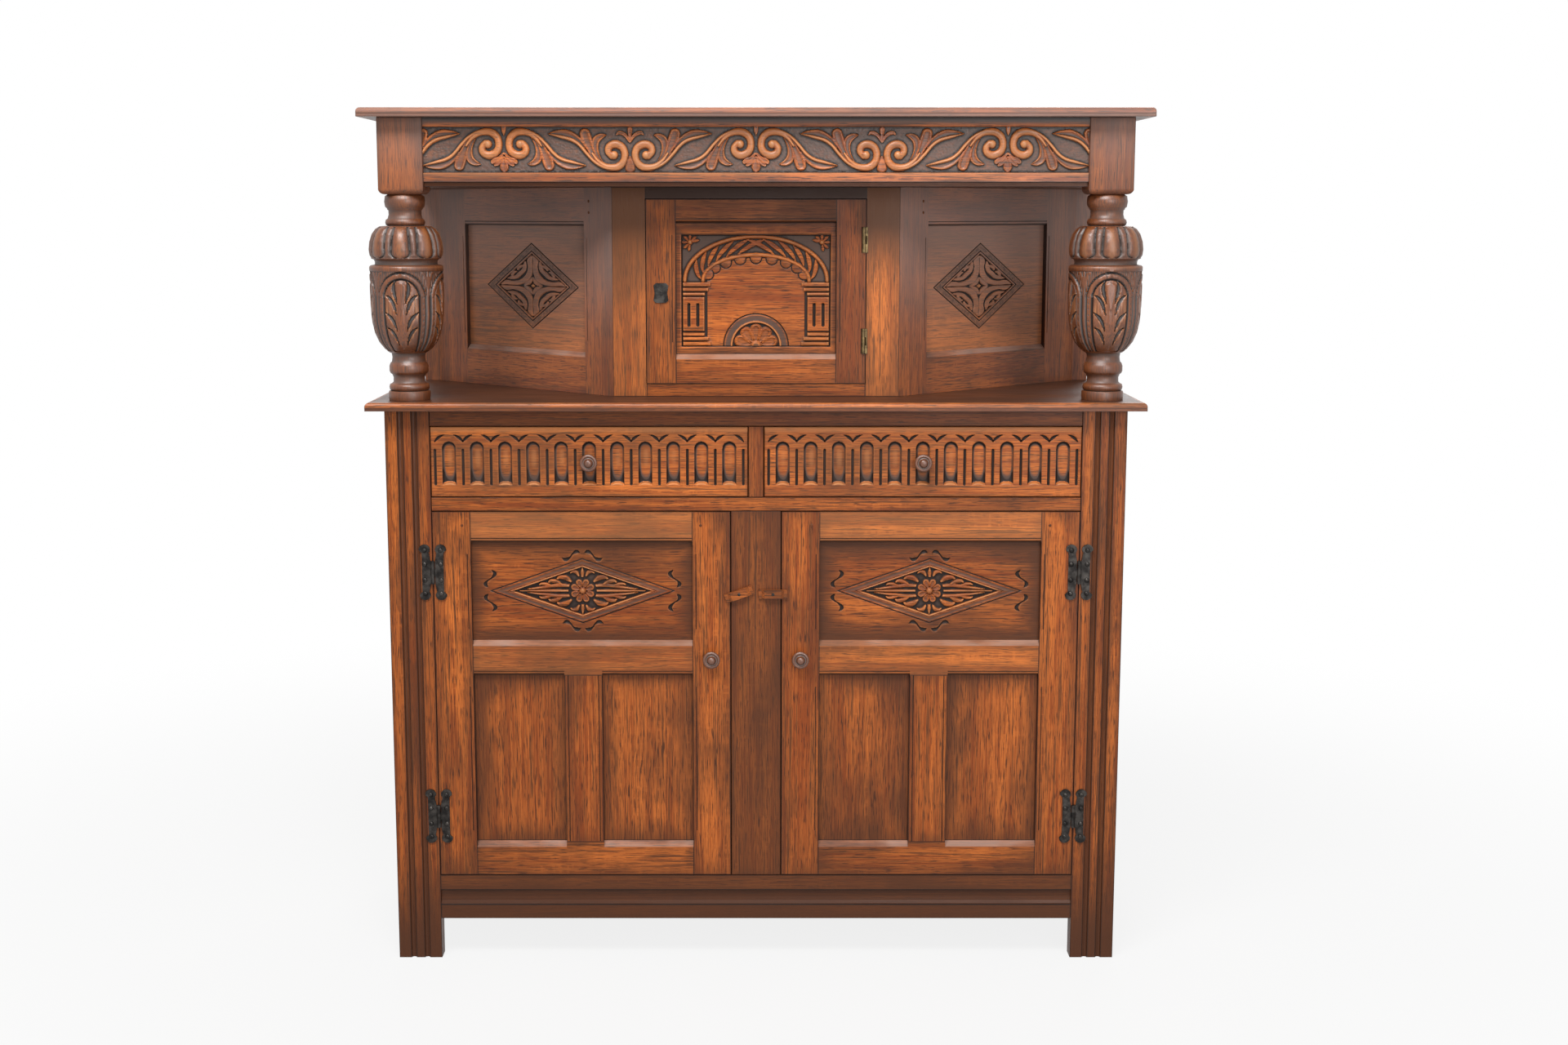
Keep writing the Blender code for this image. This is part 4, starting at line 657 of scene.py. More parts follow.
def carved_piece(name, points, faces, tones, place, material, keep):
    """Mesh with its tones, thinned out where it is flat."""
    mesh = bpy.data.meshes.new(name)
    mesh.from_pydata(points.tolist(), [], faces)
    paint = mesh.attributes.new("tone", "FLOAT", "POINT")
    paint.data.foreach_set("value", unit(tones).astype(np.float32))
    mesh.transform(place)
    if place.determinant() < 0:
        mesh.flip_normals()
    piece = add_object(name, mesh)
    if keep < 1.0:
        thin = piece.modifiers.new("thin", "DECIMATE")
        thin.ratio = keep
        depsgraph = bpy.context.evaluated_depsgraph_get()
        piece.data = bpy.data.meshes.new_from_object(piece.evaluated_get(depsgraph))
        piece.modifiers.clear()
    piece.data.shade_smooth()
    piece.data.set_sharp_from_angle(angle=radians(60))
    piece.data.materials.clear()
    piece.data.materials.append(material)
    return piece


def axes(origin, right, up, out):
    """Matrix that sends X, Y, Z to the given directions from an origin."""
    matrix = Matrix((right, up, out)).transposed().to_4x4()
    matrix.translation = origin
    return matrix


def facing_front(x, y, z):
    return axes((x, y, z), (1, 0, 0), (0, 0, 1), (0, -1, 0))


def board_of(node, axis, shade=0.0):
    low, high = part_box(node)
    return Member(low, high, axis, shade)


def within_tongues(low, high, axis, shade=0.0):
    """The part of a panel that shows inside its frame."""
    tongue = Vector((PANEL_TONGUE, 0.0, PANEL_TONGUE))
    return Member(low + tongue, high - tongue, axis, shade)


# Carved frieze: scrolls in pairs, turned up and down by turns, that trail off into leaves

FRIEZE_BANDS = (13.8, 13.5)
FRIEZE_RECESS = 5.0
FRIEZE_PITCH = 194.4
SCROLL = ((28.0, 44.6, 5.6), (33.4, 38.5, 5.4), (32.4, 31.4, 5.8), (26.2, 27.2, 6.2), (18.4, 27.6, 6.3),
          (11.0, 33.0, 5.9), (7.9, 42.4, 5.6), (10.3, 53.6, 5.8), (18.4, 61.0, 6.0), (29.2, 62.6, 5.6),
          (40.1, 59.6, 4.6), (50.4, 51.5, 3.4), (58.0, 41.0, 1.8))
SCROLL_EYE = (25.0, 43.6, 6.6)
STRAND = ((27.0, 65.0, 1.4), (39.5, 62.4, 2.6), (53.5, 54.5, 2.8), (66.0, 42.0, 2.8), (77.0, 29.0, 2.8),
          (89.0, 20.6, 2.8), (106.0, 15.8, 2.4), (125.0, 11.4, 0.6))
UPPER_LEAF = ((71.0, 31.0, 2.2), (82.0, 20.6, 6.4), (97.0, 12.8, 7.6), (112.0, 11.0, 5.2), (126.0, 11.0, 0.6))
MIDDLE_LEAF = ((47.0, 57.0, 1.8), (55.5, 45.0, 4.0), (62.0, 31.5, 6.4), (67.0, 19.5, 8.8), (69.5, 11.0, 8.2))
INNER_LEAF = ((43.0, 55.0, 1.6), (50.5, 42.0, 3.2), (53.6, 30.0, 5.0), (51.8, 20.4, 6.0), (44.6, 14.8, 4.2),
              (36.8, 13.0, 0.8))
PALMETTE = (((0.6, 29.5, 1.5), (8.0, 22.1, 3.0), (16.0, 17.5, 4.2), (19.5, 15.0, 1.0)),
            ((0.6, 24.0, 1.5), (8.5, 15.0, 3.2), (14.0, 11.5, 2.0)),
            ((0.0, 19.0, 2.0), (0.0, 10.0, 7.0), (0.0, 4.0, 4.0)))
BUD = ((0.0, 69.5, 3.8), (0.0, 64.0, 3.2), (0.0, 57.0, 0.6))
DROP = ((0.0, 24.0, 1.5), (0.0, 12.0, 6.5), (0.0, 7.5, 8.0))
TREFOIL = (((0.0, 47.0, 1.2), (0.0, 60.0, 3.2), (0.0, 66.0, 4.2)),
           ((0.5, 47.0, 1.5), (7.0, 57.0, 2.8), (16.0, 61.0, 2.8), (21.0, 57.5, 0.8)))
LEAF_CUT = (4.6, 3.2, 0.52)
STRAND_CUT = (5.2, 0.0, 0.66)
SCROLL_CUT = (5.2, 0.0, 0.68)
EYE_RISE, EYE_TONE = 6.6, 0.72
PALMETTE_CUT = (4.0, 1.8)
BUD_CUT = (4.0, 1.4)
FRIEZE_TONE = 0.18
FRIEZE_LOWER_TONE = 0.38


def frieze_carving(width, field):
    carving = Carving(-width / 2, width / 2, -FRIEZE_BANDS[0], field + FRIEZE_BANDS[1], STEP)
    sunk = np.minimum(carving.y, field - carving.y)
    carving.height = -FRIEZE_RECESS * unit(sunk / STEP)
    # The band above the field gets the ground tone: painted shadow under the cornice
    carving.tone = np.where(sunk > 0, FRIEZE_TONE, np.where(carving.y > field, GROUND, FRIEZE_LOWER_TONE))
    base = -FRIEZE_RECESS

    def place(points, middle, side, turned):
        return [(middle + side * x, field - y if turned else y, w) for x, y, w in points]

    for k in range(-3, 4):
        middle, turned = k * FRIEZE_PITCH, bool(k % 2)
        for side in (-1, 1):
            for leaf in (UPPER_LEAF, MIDDLE_LEAF, INNER_LEAF):
                carving.stroke(place(leaf, middle, side, turned), base, *LEAF_CUT)
            carving.stroke(place(STRAND, middle, side, turned), base, *STRAND_CUT)
            carving.stroke(place(SCROLL, middle, side, turned), base, *SCROLL_CUT)
            x, y, radius = SCROLL_EYE
            carving.dome(middle + side * x, field - y if turned else y, radius, base, EYE_RISE, EYE_TONE)
            for lobe in (TREFOIL if turned else PALMETTE):
                carving.stroke(place(lobe, middle, side, False), base, *PALMETTE_CUT)
        carving.stroke(place(DROP if turned else BUD, middle, 1, False), base, *BUD_CUT)
    ground = (sunk > 0) & (carving.height < base + 0.4)
    carving.stipple(ground, 0.7, 3)
    carving.weather_and_shading()
    return carving


def make_frieze():
    low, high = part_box("frieze_front")
    width = (high.x - low.x) / MM
    field = (high.z - low.z) / MM - sum(FRIEZE_BANDS)
    place = facing_front((low.x + high.x) / 2, low.y, low.z + FRIEZE_BANDS[0] * MM)
    material = oak("frieze oak", [board_of("frieze_front", "X")], 1.1, 0.006, 0.4, carved=True, gloss=0.5)
    piece = carved_board("frieze_carved", frieze_carving(width, field), place, (high.y - low.y) / MM,
                         material, 0.30)
    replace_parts(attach(piece, "case"), "frieze_front")


# Fluted drawer fronts

FLUTE_PITCH = 44.2
FLUTE_HALF = 11.0
FLUTE_DEPTH = 5.0
FLUTE_FOOT = 19.0
FLUTE_HEAD = 88.0
LIP_RISE = 5.5
ARCH_RADIUS = 26.5
ARCH_CENTRE = 73.0
NOTCH_ANGLES = (16, 25, 34, 42, 49, 57)
NOTCH_WIDTHS = (0.4, 1.5, 2.3, 2.4, 1.8, 1.1)
SLOT_HALF = 2.2
TOP_STRIP = 100.0
DRAWER_ARRIS = 1.6
LIP_SLOPE = 4.0
LIP_TONE = 0.72
FLUTE_TONE = 0.68
FOOT_SHADOW, FOOT_SHADOW_REACH = 0.60, 15.0
TOP_SHADOW, TOP_SHADOW_REACH = 0.50, 9.0
EDGE_SHADOW = 0.62
LEFT_SHADOW = 0.16
NOTCH_CUT = (3.0, 0.02)
SLOT_ROWS = (20.0, 45.0, 74.0)
SLOT_CUT = (3.0, 0.05)
STRIP_LIGHT, STRIP_SLOPE = 0.25, 4.0


def drawer_carving(width, height):
    carving = Carving(-width / 2, width / 2, 0.0, height, STEP)
    count = int(width / FLUTE_PITCH)
    spring = FLUTE_HEAD - FLUTE_HALF
    for k in range(count):
        middle = (k - (count - 1) / 2) * FLUTE_PITCH
        x, y = carving.x - middle, carving.y
        side = np.where(y > spring, np.hypot(x, y - spring), np.abs(x)) / FLUTE_HALF
        lip = FLUTE_FOOT + LIP_RISE * np.sqrt(unit(1 - (x / FLUTE_HALF)**2))
        inside = (side < 1) & (y > FLUTE_FOOT)
        bowl = FLUTE_DEPTH * unit((1 - side**4) * 1.4)
        ramp = unit((y - lip + LIP_SLOPE) / LIP_SLOPE)
        # Painted light and shadow in each flute: lighter in the middle, in shadow at its foot, head, sides
        # and left
        shadow = FLUTE_TONE - FOOT_SHADOW * np.exp(-((y - lip) / FOOT_SHADOW_REACH)**2)
        shadow = shadow - TOP_SHADOW * np.exp(-((y - FLUTE_HEAD) / TOP_SHADOW_REACH)**2)
        shadow = shadow - EDGE_SHADOW * unit(side)**3 - LEFT_SHADOW * unit(-x / FLUTE_HALF)
        carving.lay(inside, -bowl * ramp, np.where(ramp < 1, LIP_TONE, shadow))
        for sign in (-1, 1):
            notch = [(middle + sign * ARCH_RADIUS * sin(radians(angle)),
                      ARCH_CENTRE + ARCH_RADIUS * cos(radians(angle)), half)
                     for angle, half in zip(NOTCH_ANGLES, NOTCH_WIDTHS)]
            carving.gouge(notch, *NOTCH_CUT)
    for k in range(count + 1):
        x = (k - count / 2) * FLUTE_PITCH
        carving.gouge([(x, y, SLOT_HALF) for y in SLOT_ROWS], *SLOT_CUT)
    # The strip above the flutes painted lighter: painted light where the main board's shadow falls
    carving.tone = carving.tone + STRIP_LIGHT * unit((carving.y - TOP_STRIP) / STRIP_SLOPE)
    carving.weather_and_shading(1.8, 0.16)
    carving.ease(DRAWER_ARRIS)
    return carving


def make_drawers():
    for side, sign in SIDES:
        node = f"drawer_{side}_front"
        low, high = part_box(node)
        width, height = (high.x - low.x) / MM, (high.z - low.z) / MM
        board = board_of(node, "X", -0.06)
        material = oak(f"drawer oak {side}", [board], 2.3 + sign, 0.004, 0.3, carved=True)
        place = facing_front((low.x + high.x) / 2, low.y, low.z)
        piece = carved_board(f"{node}_fluted", drawer_carving(width, height), place, (high.y - low.y) / MM,
                             material, 0.35)
        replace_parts(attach(piece, f"drawer_{side}"), node)


# Upper panels of the lower doors: a diamond with a flower, and gouged curls round it

DIAMOND = (144.6, 51.3)
DIAMOND_BAND = 8.8
DIAMOND_BEAD = 3.0
DIAMOND_RISE = 2.2
DIAMOND_SINK = 2.4
CURL = ((-32.0, 53.0, 0.5), (-26.0, 50.6, 3.2), (-19.5, 54.0, 1.3), (-15.5, 59.5, 1.3), (-9.0, 63.4, 3.2),
        (-3.5, 60.8, 0.5))
SIDE_CURL = ((-144.5, 33.5, 0.5), (-139.6, 27.5, 3.2), (-145.0, 20.5, 1.3), (-152.0, 16.0, 1.3),
             (-155.0, 10.5, 3.2), (-151.0, 5.5, 0.5))
DIAMOND_LEAVES = (
    ((-22.0, 0.0, 1.8), (-60.0, 0.0, 2.2), (-100.0, 0.0, 0.6)),
    ((-20.5, 8.0, 2.2), (-38.0, 8.6, 3.0), (-60.0, 6.0, 2.6), (-88.0, 2.6, 0.6)),
    ((-19.0, 15.5, 2.0), (-26.0, 20.5, 4.2), (-35.0, 22.3, 3.6), (-40.0, 19.8, 1.6)),
    ((-34.0, 11.0, 1.6), (-42.0, 14.8, 3.4), (-50.0, 16.2, 3.0), (-54.0, 14.0, 1.2)),
    ((-50.0, 8.6, 1.4), (-58.0, 10.8, 2.6), (-65.0, 11.4, 2.2), (-69.0, 9.8, 0.9)),
    ((-6.0, 24.5, 1.6), (-9.5, 30.0, 3.2), (-15.0, 31.2, 2.4), (-19.0, 29.0, 1.0)),
    ((0.0, 22.5, 2.2), (0.0, 29.5, 3.0), (0.0, 38.0, 0.6)))
ROSETTE_RADIUS = 19.5
ROSETTE_PETALS = 8
ROSETTE_GROUND = 22.5
ROSETTE_RISE = 4.4
PETAL_LINE = ((0.30, 0.08), (0.58, 0.23), (0.74, 0.27))
BAND_DISH, BAND_TONE, BAND_DISH_TONE = 0.7, 0.29, 0.05
BEAD_FLOOR, BEAD_RISE, BEAD_TONE = -0.4, DIAMOND_RISE + 0.6, 0.58
DIAMOND_TONE = 0.05
DIAMOND_LEAF_CUT = (4.2, 0.5, 0.52)
CURL_CUT = (2.6, 0.03)


def petals(carving, x, y, radius, count, base, rise, start=0.0, turn=2 * pi):
    """Ring of dished petals about a point, with a boss in the middle."""
    for k in range(count):
        angle = start + turn * (k + 0.5) / count
        line = [(x + radius * r * cos(angle), y + radius * r * sin(angle), radius * w) for r, w in PETAL_LINE]
        carving.stroke(line, base, rise, rise * 0.6, 0.55)
    carving.dome(x, y, radius * 0.28, base, rise * 1.2, 0.6)


def door_carving(width, height):
    carving = Carving(-width / 2, width / 2, -height / 2, height / 2, STEP)
    level = np.abs(carving.x) / DIAMOND[0] + np.abs(carving.y) / DIAMOND[1]
    inward = (1 - level) * DIAMOND[0] * DIAMOND[1] / hypot(*DIAMOND)
    band = (inward > 0) & (inward < DIAMOND_BAND)
    dish = 0.5 - 0.5 * np.cos(2 * pi * unit(inward / DIAMOND_BAND))
    carving.lay(band, DIAMOND_RISE * unit(inward / STEP) - BAND_DISH * dish,
                BAND_TONE - BAND_DISH_TONE * dish)
    carving.lay(inward > DIAMOND_BAND, -DIAMOND_SINK, DIAMOND_TONE)
    bead = np.abs(inward - DIAMOND_BAND - DIAMOND_BEAD / 2) / (DIAMOND_BEAD / 2)
    carving.raise_by(bead, BEAD_FLOOR, BEAD_RISE, tone=BEAD_TONE)
    carving.cut(np.abs(inward + 0.5) / 0.9, 0.8, 0.05)
    for sx in (-1, 1):
        for sy in (-1, 1):
            for leaf in DIAMOND_LEAVES:
                carving.stroke([(sx * x, sy * y, w) for x, y, w in leaf], -DIAMOND_SINK, *DIAMOND_LEAF_CUT)
            for curl in (CURL, SIDE_CURL):
                carving.gouge([(sx * x, sy * y, w) for x, y, w in curl], *CURL_CUT)
    rosette = np.hypot(carving.x, carving.y)
    carving.lay(rosette < ROSETTE_GROUND, -DIAMOND_SINK, 0.04)
    petals(carving, 0.0, 0.0, ROSETTE_RADIUS, ROSETTE_PETALS, -DIAMOND_SINK, ROSETTE_RISE)
    carving.weather_and_shading(1.8, 0.26)
    return carving


def make_door_panels():
    for side, sign in SIDES:
        node = f"door_{side}_panel_upper"
        low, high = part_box(node)
        low.y, high.y = (corner.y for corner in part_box(f"door_{side}_panel_lower"))
        width, height = (high.x - low.x) / MM, (high.z - low.z) / MM
        board = within_tongues(low - Vector((0.0, PANEL_RELIEF, 0.0)), high, "X", 0.15)
        material = oak(f"door panel oak {side}", [board], 4.1 + sign, 0.030, 0.9, carved=True)
        place = facing_front((low.x + high.x) / 2, low.y, (low.z + high.z) / 2)
        piece = carved_board(f"{node}_carved", door_carving(width, height), place, (high.y - low.y) / MM,
                             material, 0.36)
        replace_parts(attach(piece, f"door_{side}"), node)


# Panels of the wings: a lozenge with a leaf star, drawn in shares of its half diagonals

LOZENGE = (116.2, 70.6)
LOZENGE_PLACE = (208.5, 1085.8)
LOZENGE_BAND = 0.235
LOZENGE_SINK = 3.4
STAR_HEART = (0.17, 0.22)
STAR_BOSS = 0.05
STAR_MIDDLE = 0.21
STAR_LINES = (
    ((0.018, 0.70, 0.018), (0.066, 0.59, 0.058), (0.052, 0.45, 0.052), (0.076, 0.29, 0.062),
     (0.155, 0.155, 0.072), (0.29, 0.076, 0.062), (0.45, 0.052, 0.052), (0.59, 0.066, 0.058),
     (0.70, 0.018, 0.018)),
    ((0.165, 0.56, 0.014), (0.178, 0.46, 0.042), (0.205, 0.36, 0.046), (0.282, 0.282, 0.050),
     (0.36, 0.205, 0.046), (0.46, 0.178, 0.042), (0.56, 0.165, 0.014)))
STAR_HOOK = ((0.215, 0.47, 0.018), (0.265, 0.45, 0.034), (0.315, 0.415, 0.032), (0.325, 0.37, 0.018))
STAR_STEP = 0.005
STAR_CUT = (3.6, 1.2, 0.50)
STAR_RISE, STAR_TONE, STAR_BOSS_TONE = 3.0, 0.42, 0.85
LOZENGE_TONE, LOZENGE_BAND_TONE = 0.05, 0.25
LOZENGE_LINE = 3.4
LOZENGE_LINE_CUT = (1.4, 0.04)


def wing_carving(s0, s1, z0, z1):
    carving = Carving(s0, s1, z0, z1, STEP)
    p = (carving.x - LOZENGE_PLACE[0]) / LOZENGE[0]
    q = (carving.y - LOZENGE_PLACE[1]) / LOZENGE[1]
    level = np.abs(p) + np.abs(q)
    scale = LOZENGE[0] * LOZENGE[1] / hypot(*LOZENGE)
    inward, band = (1 - level) * scale, LOZENGE_BAND * scale
    ground = inward > band
    carving.height = np.where(ground, -LOZENGE_SINK, carving.height)
    carving.tone = np.where(inward > 0, np.where(ground, LOZENGE_TONE, LOZENGE_BAND_TONE), carving.tone)
    for edge in (0.0, band - LOZENGE_LINE):
        carving.cut(np.abs(inward - edge), *LOZENGE_LINE_CUT)
    star = Carving(0.0, 1.0, 0.0, 1.0, STAR_STEP)
    star.height[:] = -LOZENGE_SINK
    star.tone[:] = GROUND
    for line in (*STAR_LINES, STAR_HOOK, [(y, x, w) for x, y, w in STAR_HOOK]):
        star.stroke(line, -LOZENGE_SINK, *STAR_CUT)
    star.dome(0.0, 0.0, STAR_MIDDLE, -LOZENGE_SINK, STAR_RISE, STAR_TONE)
    column = np.clip(np.round(np.abs(p) / star.step), 0, len(star.xs) - 1).astype(int)
    row = np.clip(np.round(np.abs(q) / star.step), 0, len(star.ys) - 1).astype(int)
    carved = ground & (star.height[row, column] > carving.height)
    carving.lay(carved, star.height[row, column], star.tone[row, column])
    heart = np.sqrt(np.abs(p) / STAR_HEART[0]) + np.sqrt(np.abs(q) / STAR_HEART[1]) < 1
    carving.lay(heart, -LOZENGE_SINK, GROUND)
    carving.raise_by(level / STAR_BOSS, -LOZENGE_SINK, STAR_RISE, tone=STAR_BOSS_TONE)
    carving.stipple((inward > 1.5) & (inward < band - 4.5), 0.5, 8)
    carving.weather_and_shading(1.8, 0.26)
    return carving


def wing_frame(sign):
    """Matrix of a wing: X along it from the front corner, Y up, Z out of its face."""
    low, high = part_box("surround_frame")
    corner = Vector((sign * high.x, low.y, 0.0))
    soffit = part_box("soffit_board")[1]
    rear = Vector((sign * (soffit.x - REAR_POST_WIDTH), soffit.y - REAR_POST_DEPTH, 0.0))
    along = (rear - corner).normalized()
    out = Vector((sign * abs(along.y), -abs(along.x), 0.0))
    return axes(corner, along, (0, 0, 1), out), (rear - corner).length


def turned_frame(matrix):
    """The wing's frame as a plain rotation about Z: X along the wing, Y into it or out of it, Z up."""
    along = matrix.to_3x3() @ Vector((1, 0, 0))
    turned = Matrix.Rotation(atan2(along.y, along.x), 4, "Z")
    turned.translation = matrix.translation
    return turned


WING_INNER_STILE = 0.067
WING_OUTER_STILE = 0.079
WING_SILL = 0.068
WING_HEAD = 0.061
WING_PANEL_SET = 0.008
WING_PANEL_THICKNESS = 0.008
REAR_POST_REACH = 0.06


def make_wings():
    z_low, z_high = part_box("main_board")[1].z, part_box("soffit_board")[0].z
    for side, sign in SIDES:
        matrix, length = wing_frame(sign)
        turned = turned_frame(matrix)
        open_x = (WING_INNER_STILE, length - WING_OUTER_STILE)
        open_z = (z_low + WING_SILL, z_high - WING_HEAD)
        low = Vector((open_x[0] - PANEL_TONGUE, -1.0, open_z[0] - PANEL_TONGUE))
        high = Vector((open_x[1] + PANEL_TONGUE, 1.0, open_z[1] + PANEL_TONGUE))
        # The panel is painted paler: painted light against the canopy's shadow
        board = within_tongues(low, high, "X", -0.25)
        material = oak(f"wing panel oak {side}", [board], 5.3 + sign, 0.020, 0.5, WING_DUST_AND_SHEEN, carved=True,
                       frame_matrix=turned)
        carving = wing_carving(low.x / MM, high.x / MM, low.z / MM, high.z / MM)
        place = matrix @ Matrix.Translation((0.0, 0.0, -WING_PANEL_SET))
        piece = carved_board(f"wing_panel_{side}_carved", carving, place, WING_PANEL_THICKNESS / MM,
                             material, 0.30)
        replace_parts(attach(piece, "case"), f"wing_panel_{side}")
        end = length + REAR_POST_REACH
        members = frame_members((0.0, end), (z_low, z_high), open_x, open_z,
                                (-REAR_POST_REACH, REAR_POST_REACH), (0.3, 0.25, 0.3, 0.0))
        dress(f"wing_frame_{side}", oak(f"wing frame oak {side}", members, 6.1 + sign, 0.016, 0.5, WING_DUST_AND_SHEEN,
                                        face=(0.0, sign, (0.0, 0.0, z_low), (end, 0.0, z_high)),
                                        frame_matrix=turned))


def frame_members(x, z, open_x, open_z, y, shades=(0.0, 0.0, 0.0, 0.0)):
    """Two stiles, the bottom rail and the top rail between them."""
    return [Member((x[0], y[0], z[0]), (open_x[0], y[1], z[1]), "Z", shades[0]),
            Member((open_x[1], y[0], z[0]), (x[1], y[1], z[1]), "Z", shades[1]),
            Member((open_x[0], y[0], z[0]), (open_x[1], y[1], open_z[0]), "X", shades[2]),
            Member((open_x[0], y[0], open_z[1]), (open_x[1], y[1], z[1]), "X", shades[3])]


# Panel of the upper door: an arch on pilasters over a half flower

FIELD = (119.0, 178.0)
FIELD_ABOVE_OPENING = 12.0
FIELD_SINK = 3.6
ARCH_SPRING = 105.0
OUTER_ARCH = (114.0, 70.0)
INNER_ARCH = (85.0, 41.0)
ARCH_BAND = 3.3
ARCH_LEAVES = 6
SCALLOPS = 9
SCALLOP_RADIUS = 9.2
LUNETTE = 52.0
LUNETTE_BEAD = (39.5, 2.0)
LUNETTE_PETALS = 36.0
PILASTER_BANDS = ((72.5, 95.8, 102.5), (76.0, 88.0, 93.8), (81.5, 81.0, 86.2), (82.5, 24.3, 79.2),
                  (82.5, 16.8, 22.2), (76.0, 9.2, 15.0), (72.5, 1.0, 7.4))
PILASTER_OUTER = 117.5
PILASTER_FLUTES = (93.4, 107.6)
FLOWER_LEAVES = ((1, 1), (1, -1), (-1, 1), (0.2, -1.5), (-1.5, 0.4), (1.4, 0), (0, 1.3))
FLOWER_PLACE = (105.5, 166.0)
FLOWER_CUT = (3.0, 1.0, 0.45)
ARCH_LEAF_LINE = ((0.0, 1.0), (0.3, 3.0), (0.7, 3.6), (1.0, 0.8))
ARCH_LEAF_INSET = 4
ARCH_LEAF_START, ARCH_LEAF_STOP, ARCH_LEAF_PITCH = 4, 30, 13.5
ARCH_LEAF_CUT = (3.8, 1.4, 0.5)
ARCH_RISE, ARCH_TONE = 4.2, 0.56
PILASTER_RISE = 0.4
PILASTER_FLUTE_ROWS = (34.0, 50.0, 67.0)
PILASTER_FLUTE_HALF = 2.6
PILASTER_FLUTE_CUT = (3.4, 0.04)
FIELD_TONE = 0.14
MIDDLE_HALF = 78.0
MIDDLE_ARCH = (80.0, 36.0)
MIDDLE_LEVEL = -2.0
SCALLOP_FLOOR = -2.4
SCALLOP_CUT = (1.8, 0.0, 0.34)
LUNETTE_RING = (3.4, 1.2, 0.26)
LUNETTE_BEAD_CUT = (4.2, 0.0, 0.62)
LUNETTE_LEAVES, LUNETTE_LEAF_RISE = 5, 4.2


def arch_line(size, width, steps=60):
    angles = np.linspace(0.0, pi, steps)
    x, y = size[0] * np.cos(angles), ARCH_SPRING + size[1] * np.sin(angles)
    return np.stack([x, y, np.full(steps, width)], -1)


def carve_arch_leaves(carving, side, base):
    """Long leaves that lie along the arch, one over the other."""
    depth = OUTER_ARCH[0] - INNER_ARCH[0] - 2 * ARCH_LEAF_INSET
    for k in range(ARCH_LEAVES):
        start = radians(ARCH_LEAF_START + ARCH_LEAF_PITCH * k)
        stop = radians(ARCH_LEAF_STOP + ARCH_LEAF_PITCH * k)
        line = []
        for t, width in ARCH_LEAF_LINE:
            angle = start + (stop - start) * t
            a, b = (half + ARCH_LEAF_INSET + depth * t for half in INNER_ARCH)
            line.append((side * a * cos(angle), ARCH_SPRING + b * sin(angle), width))
        carving.stroke(line, base, *ARCH_LEAF_CUT)


def carve_corner_flower(carving, side, base):
    x, y = side * FLOWER_PLACE[0], FLOWER_PLACE[1]
    for dx, dy in FLOWER_LEAVES:
        carving.stroke([(x + side * dx * 3, y + dy * 3, 1.4), (x + side * dx * 7, y + dy * 7, 2.4),
                        (x + side * dx * 10, y + dy * 9, 0.5)], base, *FLOWER_CUT)
    carving.dome(x, y, 4.2, base, 4.6, 0.6)


def carve_pilaster(carving, side):
    for inner, low, high in PILASTER_BANDS:
        carving.block(*sorted((side * inner, side * PILASTER_OUTER)), low, high, PILASTER_RISE)
    for flute in PILASTER_FLUTES:
        line = [(side * flute, y, PILASTER_FLUTE_HALF) for y in PILASTER_FLUTE_ROWS]
        carving.gouge(line, *PILASTER_FLUTE_CUT)


def carve_lunette(carving):
    """Half flower in a ring at the foot of the field."""
    radius = np.where(carving.y > 0, np.hypot(carving.x, carving.y), 999.0)
    carving.lay(radius < LUNETTE + 1.0, -FIELD_SINK, 0.06)
    middle, half = (LUNETTE + LUNETTE_BEAD[0]) / 2, (LUNETTE - LUNETTE_BEAD[0]) / 2
    carving.raise_by(np.abs(radius - middle) / half, -FIELD_SINK, *LUNETTE_RING)
    carving.raise_by(np.abs(radius - LUNETTE_BEAD[0]) / LUNETTE_BEAD[1], -FIELD_SINK, *LUNETTE_BEAD_CUT)
    fan = Carving(carving.xs[0], carving.xs[-1], carving.ys[0], carving.ys[-1], carving.step)
    fan.height[:] = -FIELD_SINK
    petals(fan, 0.0, 0.0, LUNETTE_PETALS, LUNETTE_LEAVES, -FIELD_SINK, LUNETTE_LEAF_RISE, 0.0, pi)
    carving.lay((carving.y > 0) & (fan.height > carving.height), fan.height, fan.tone)


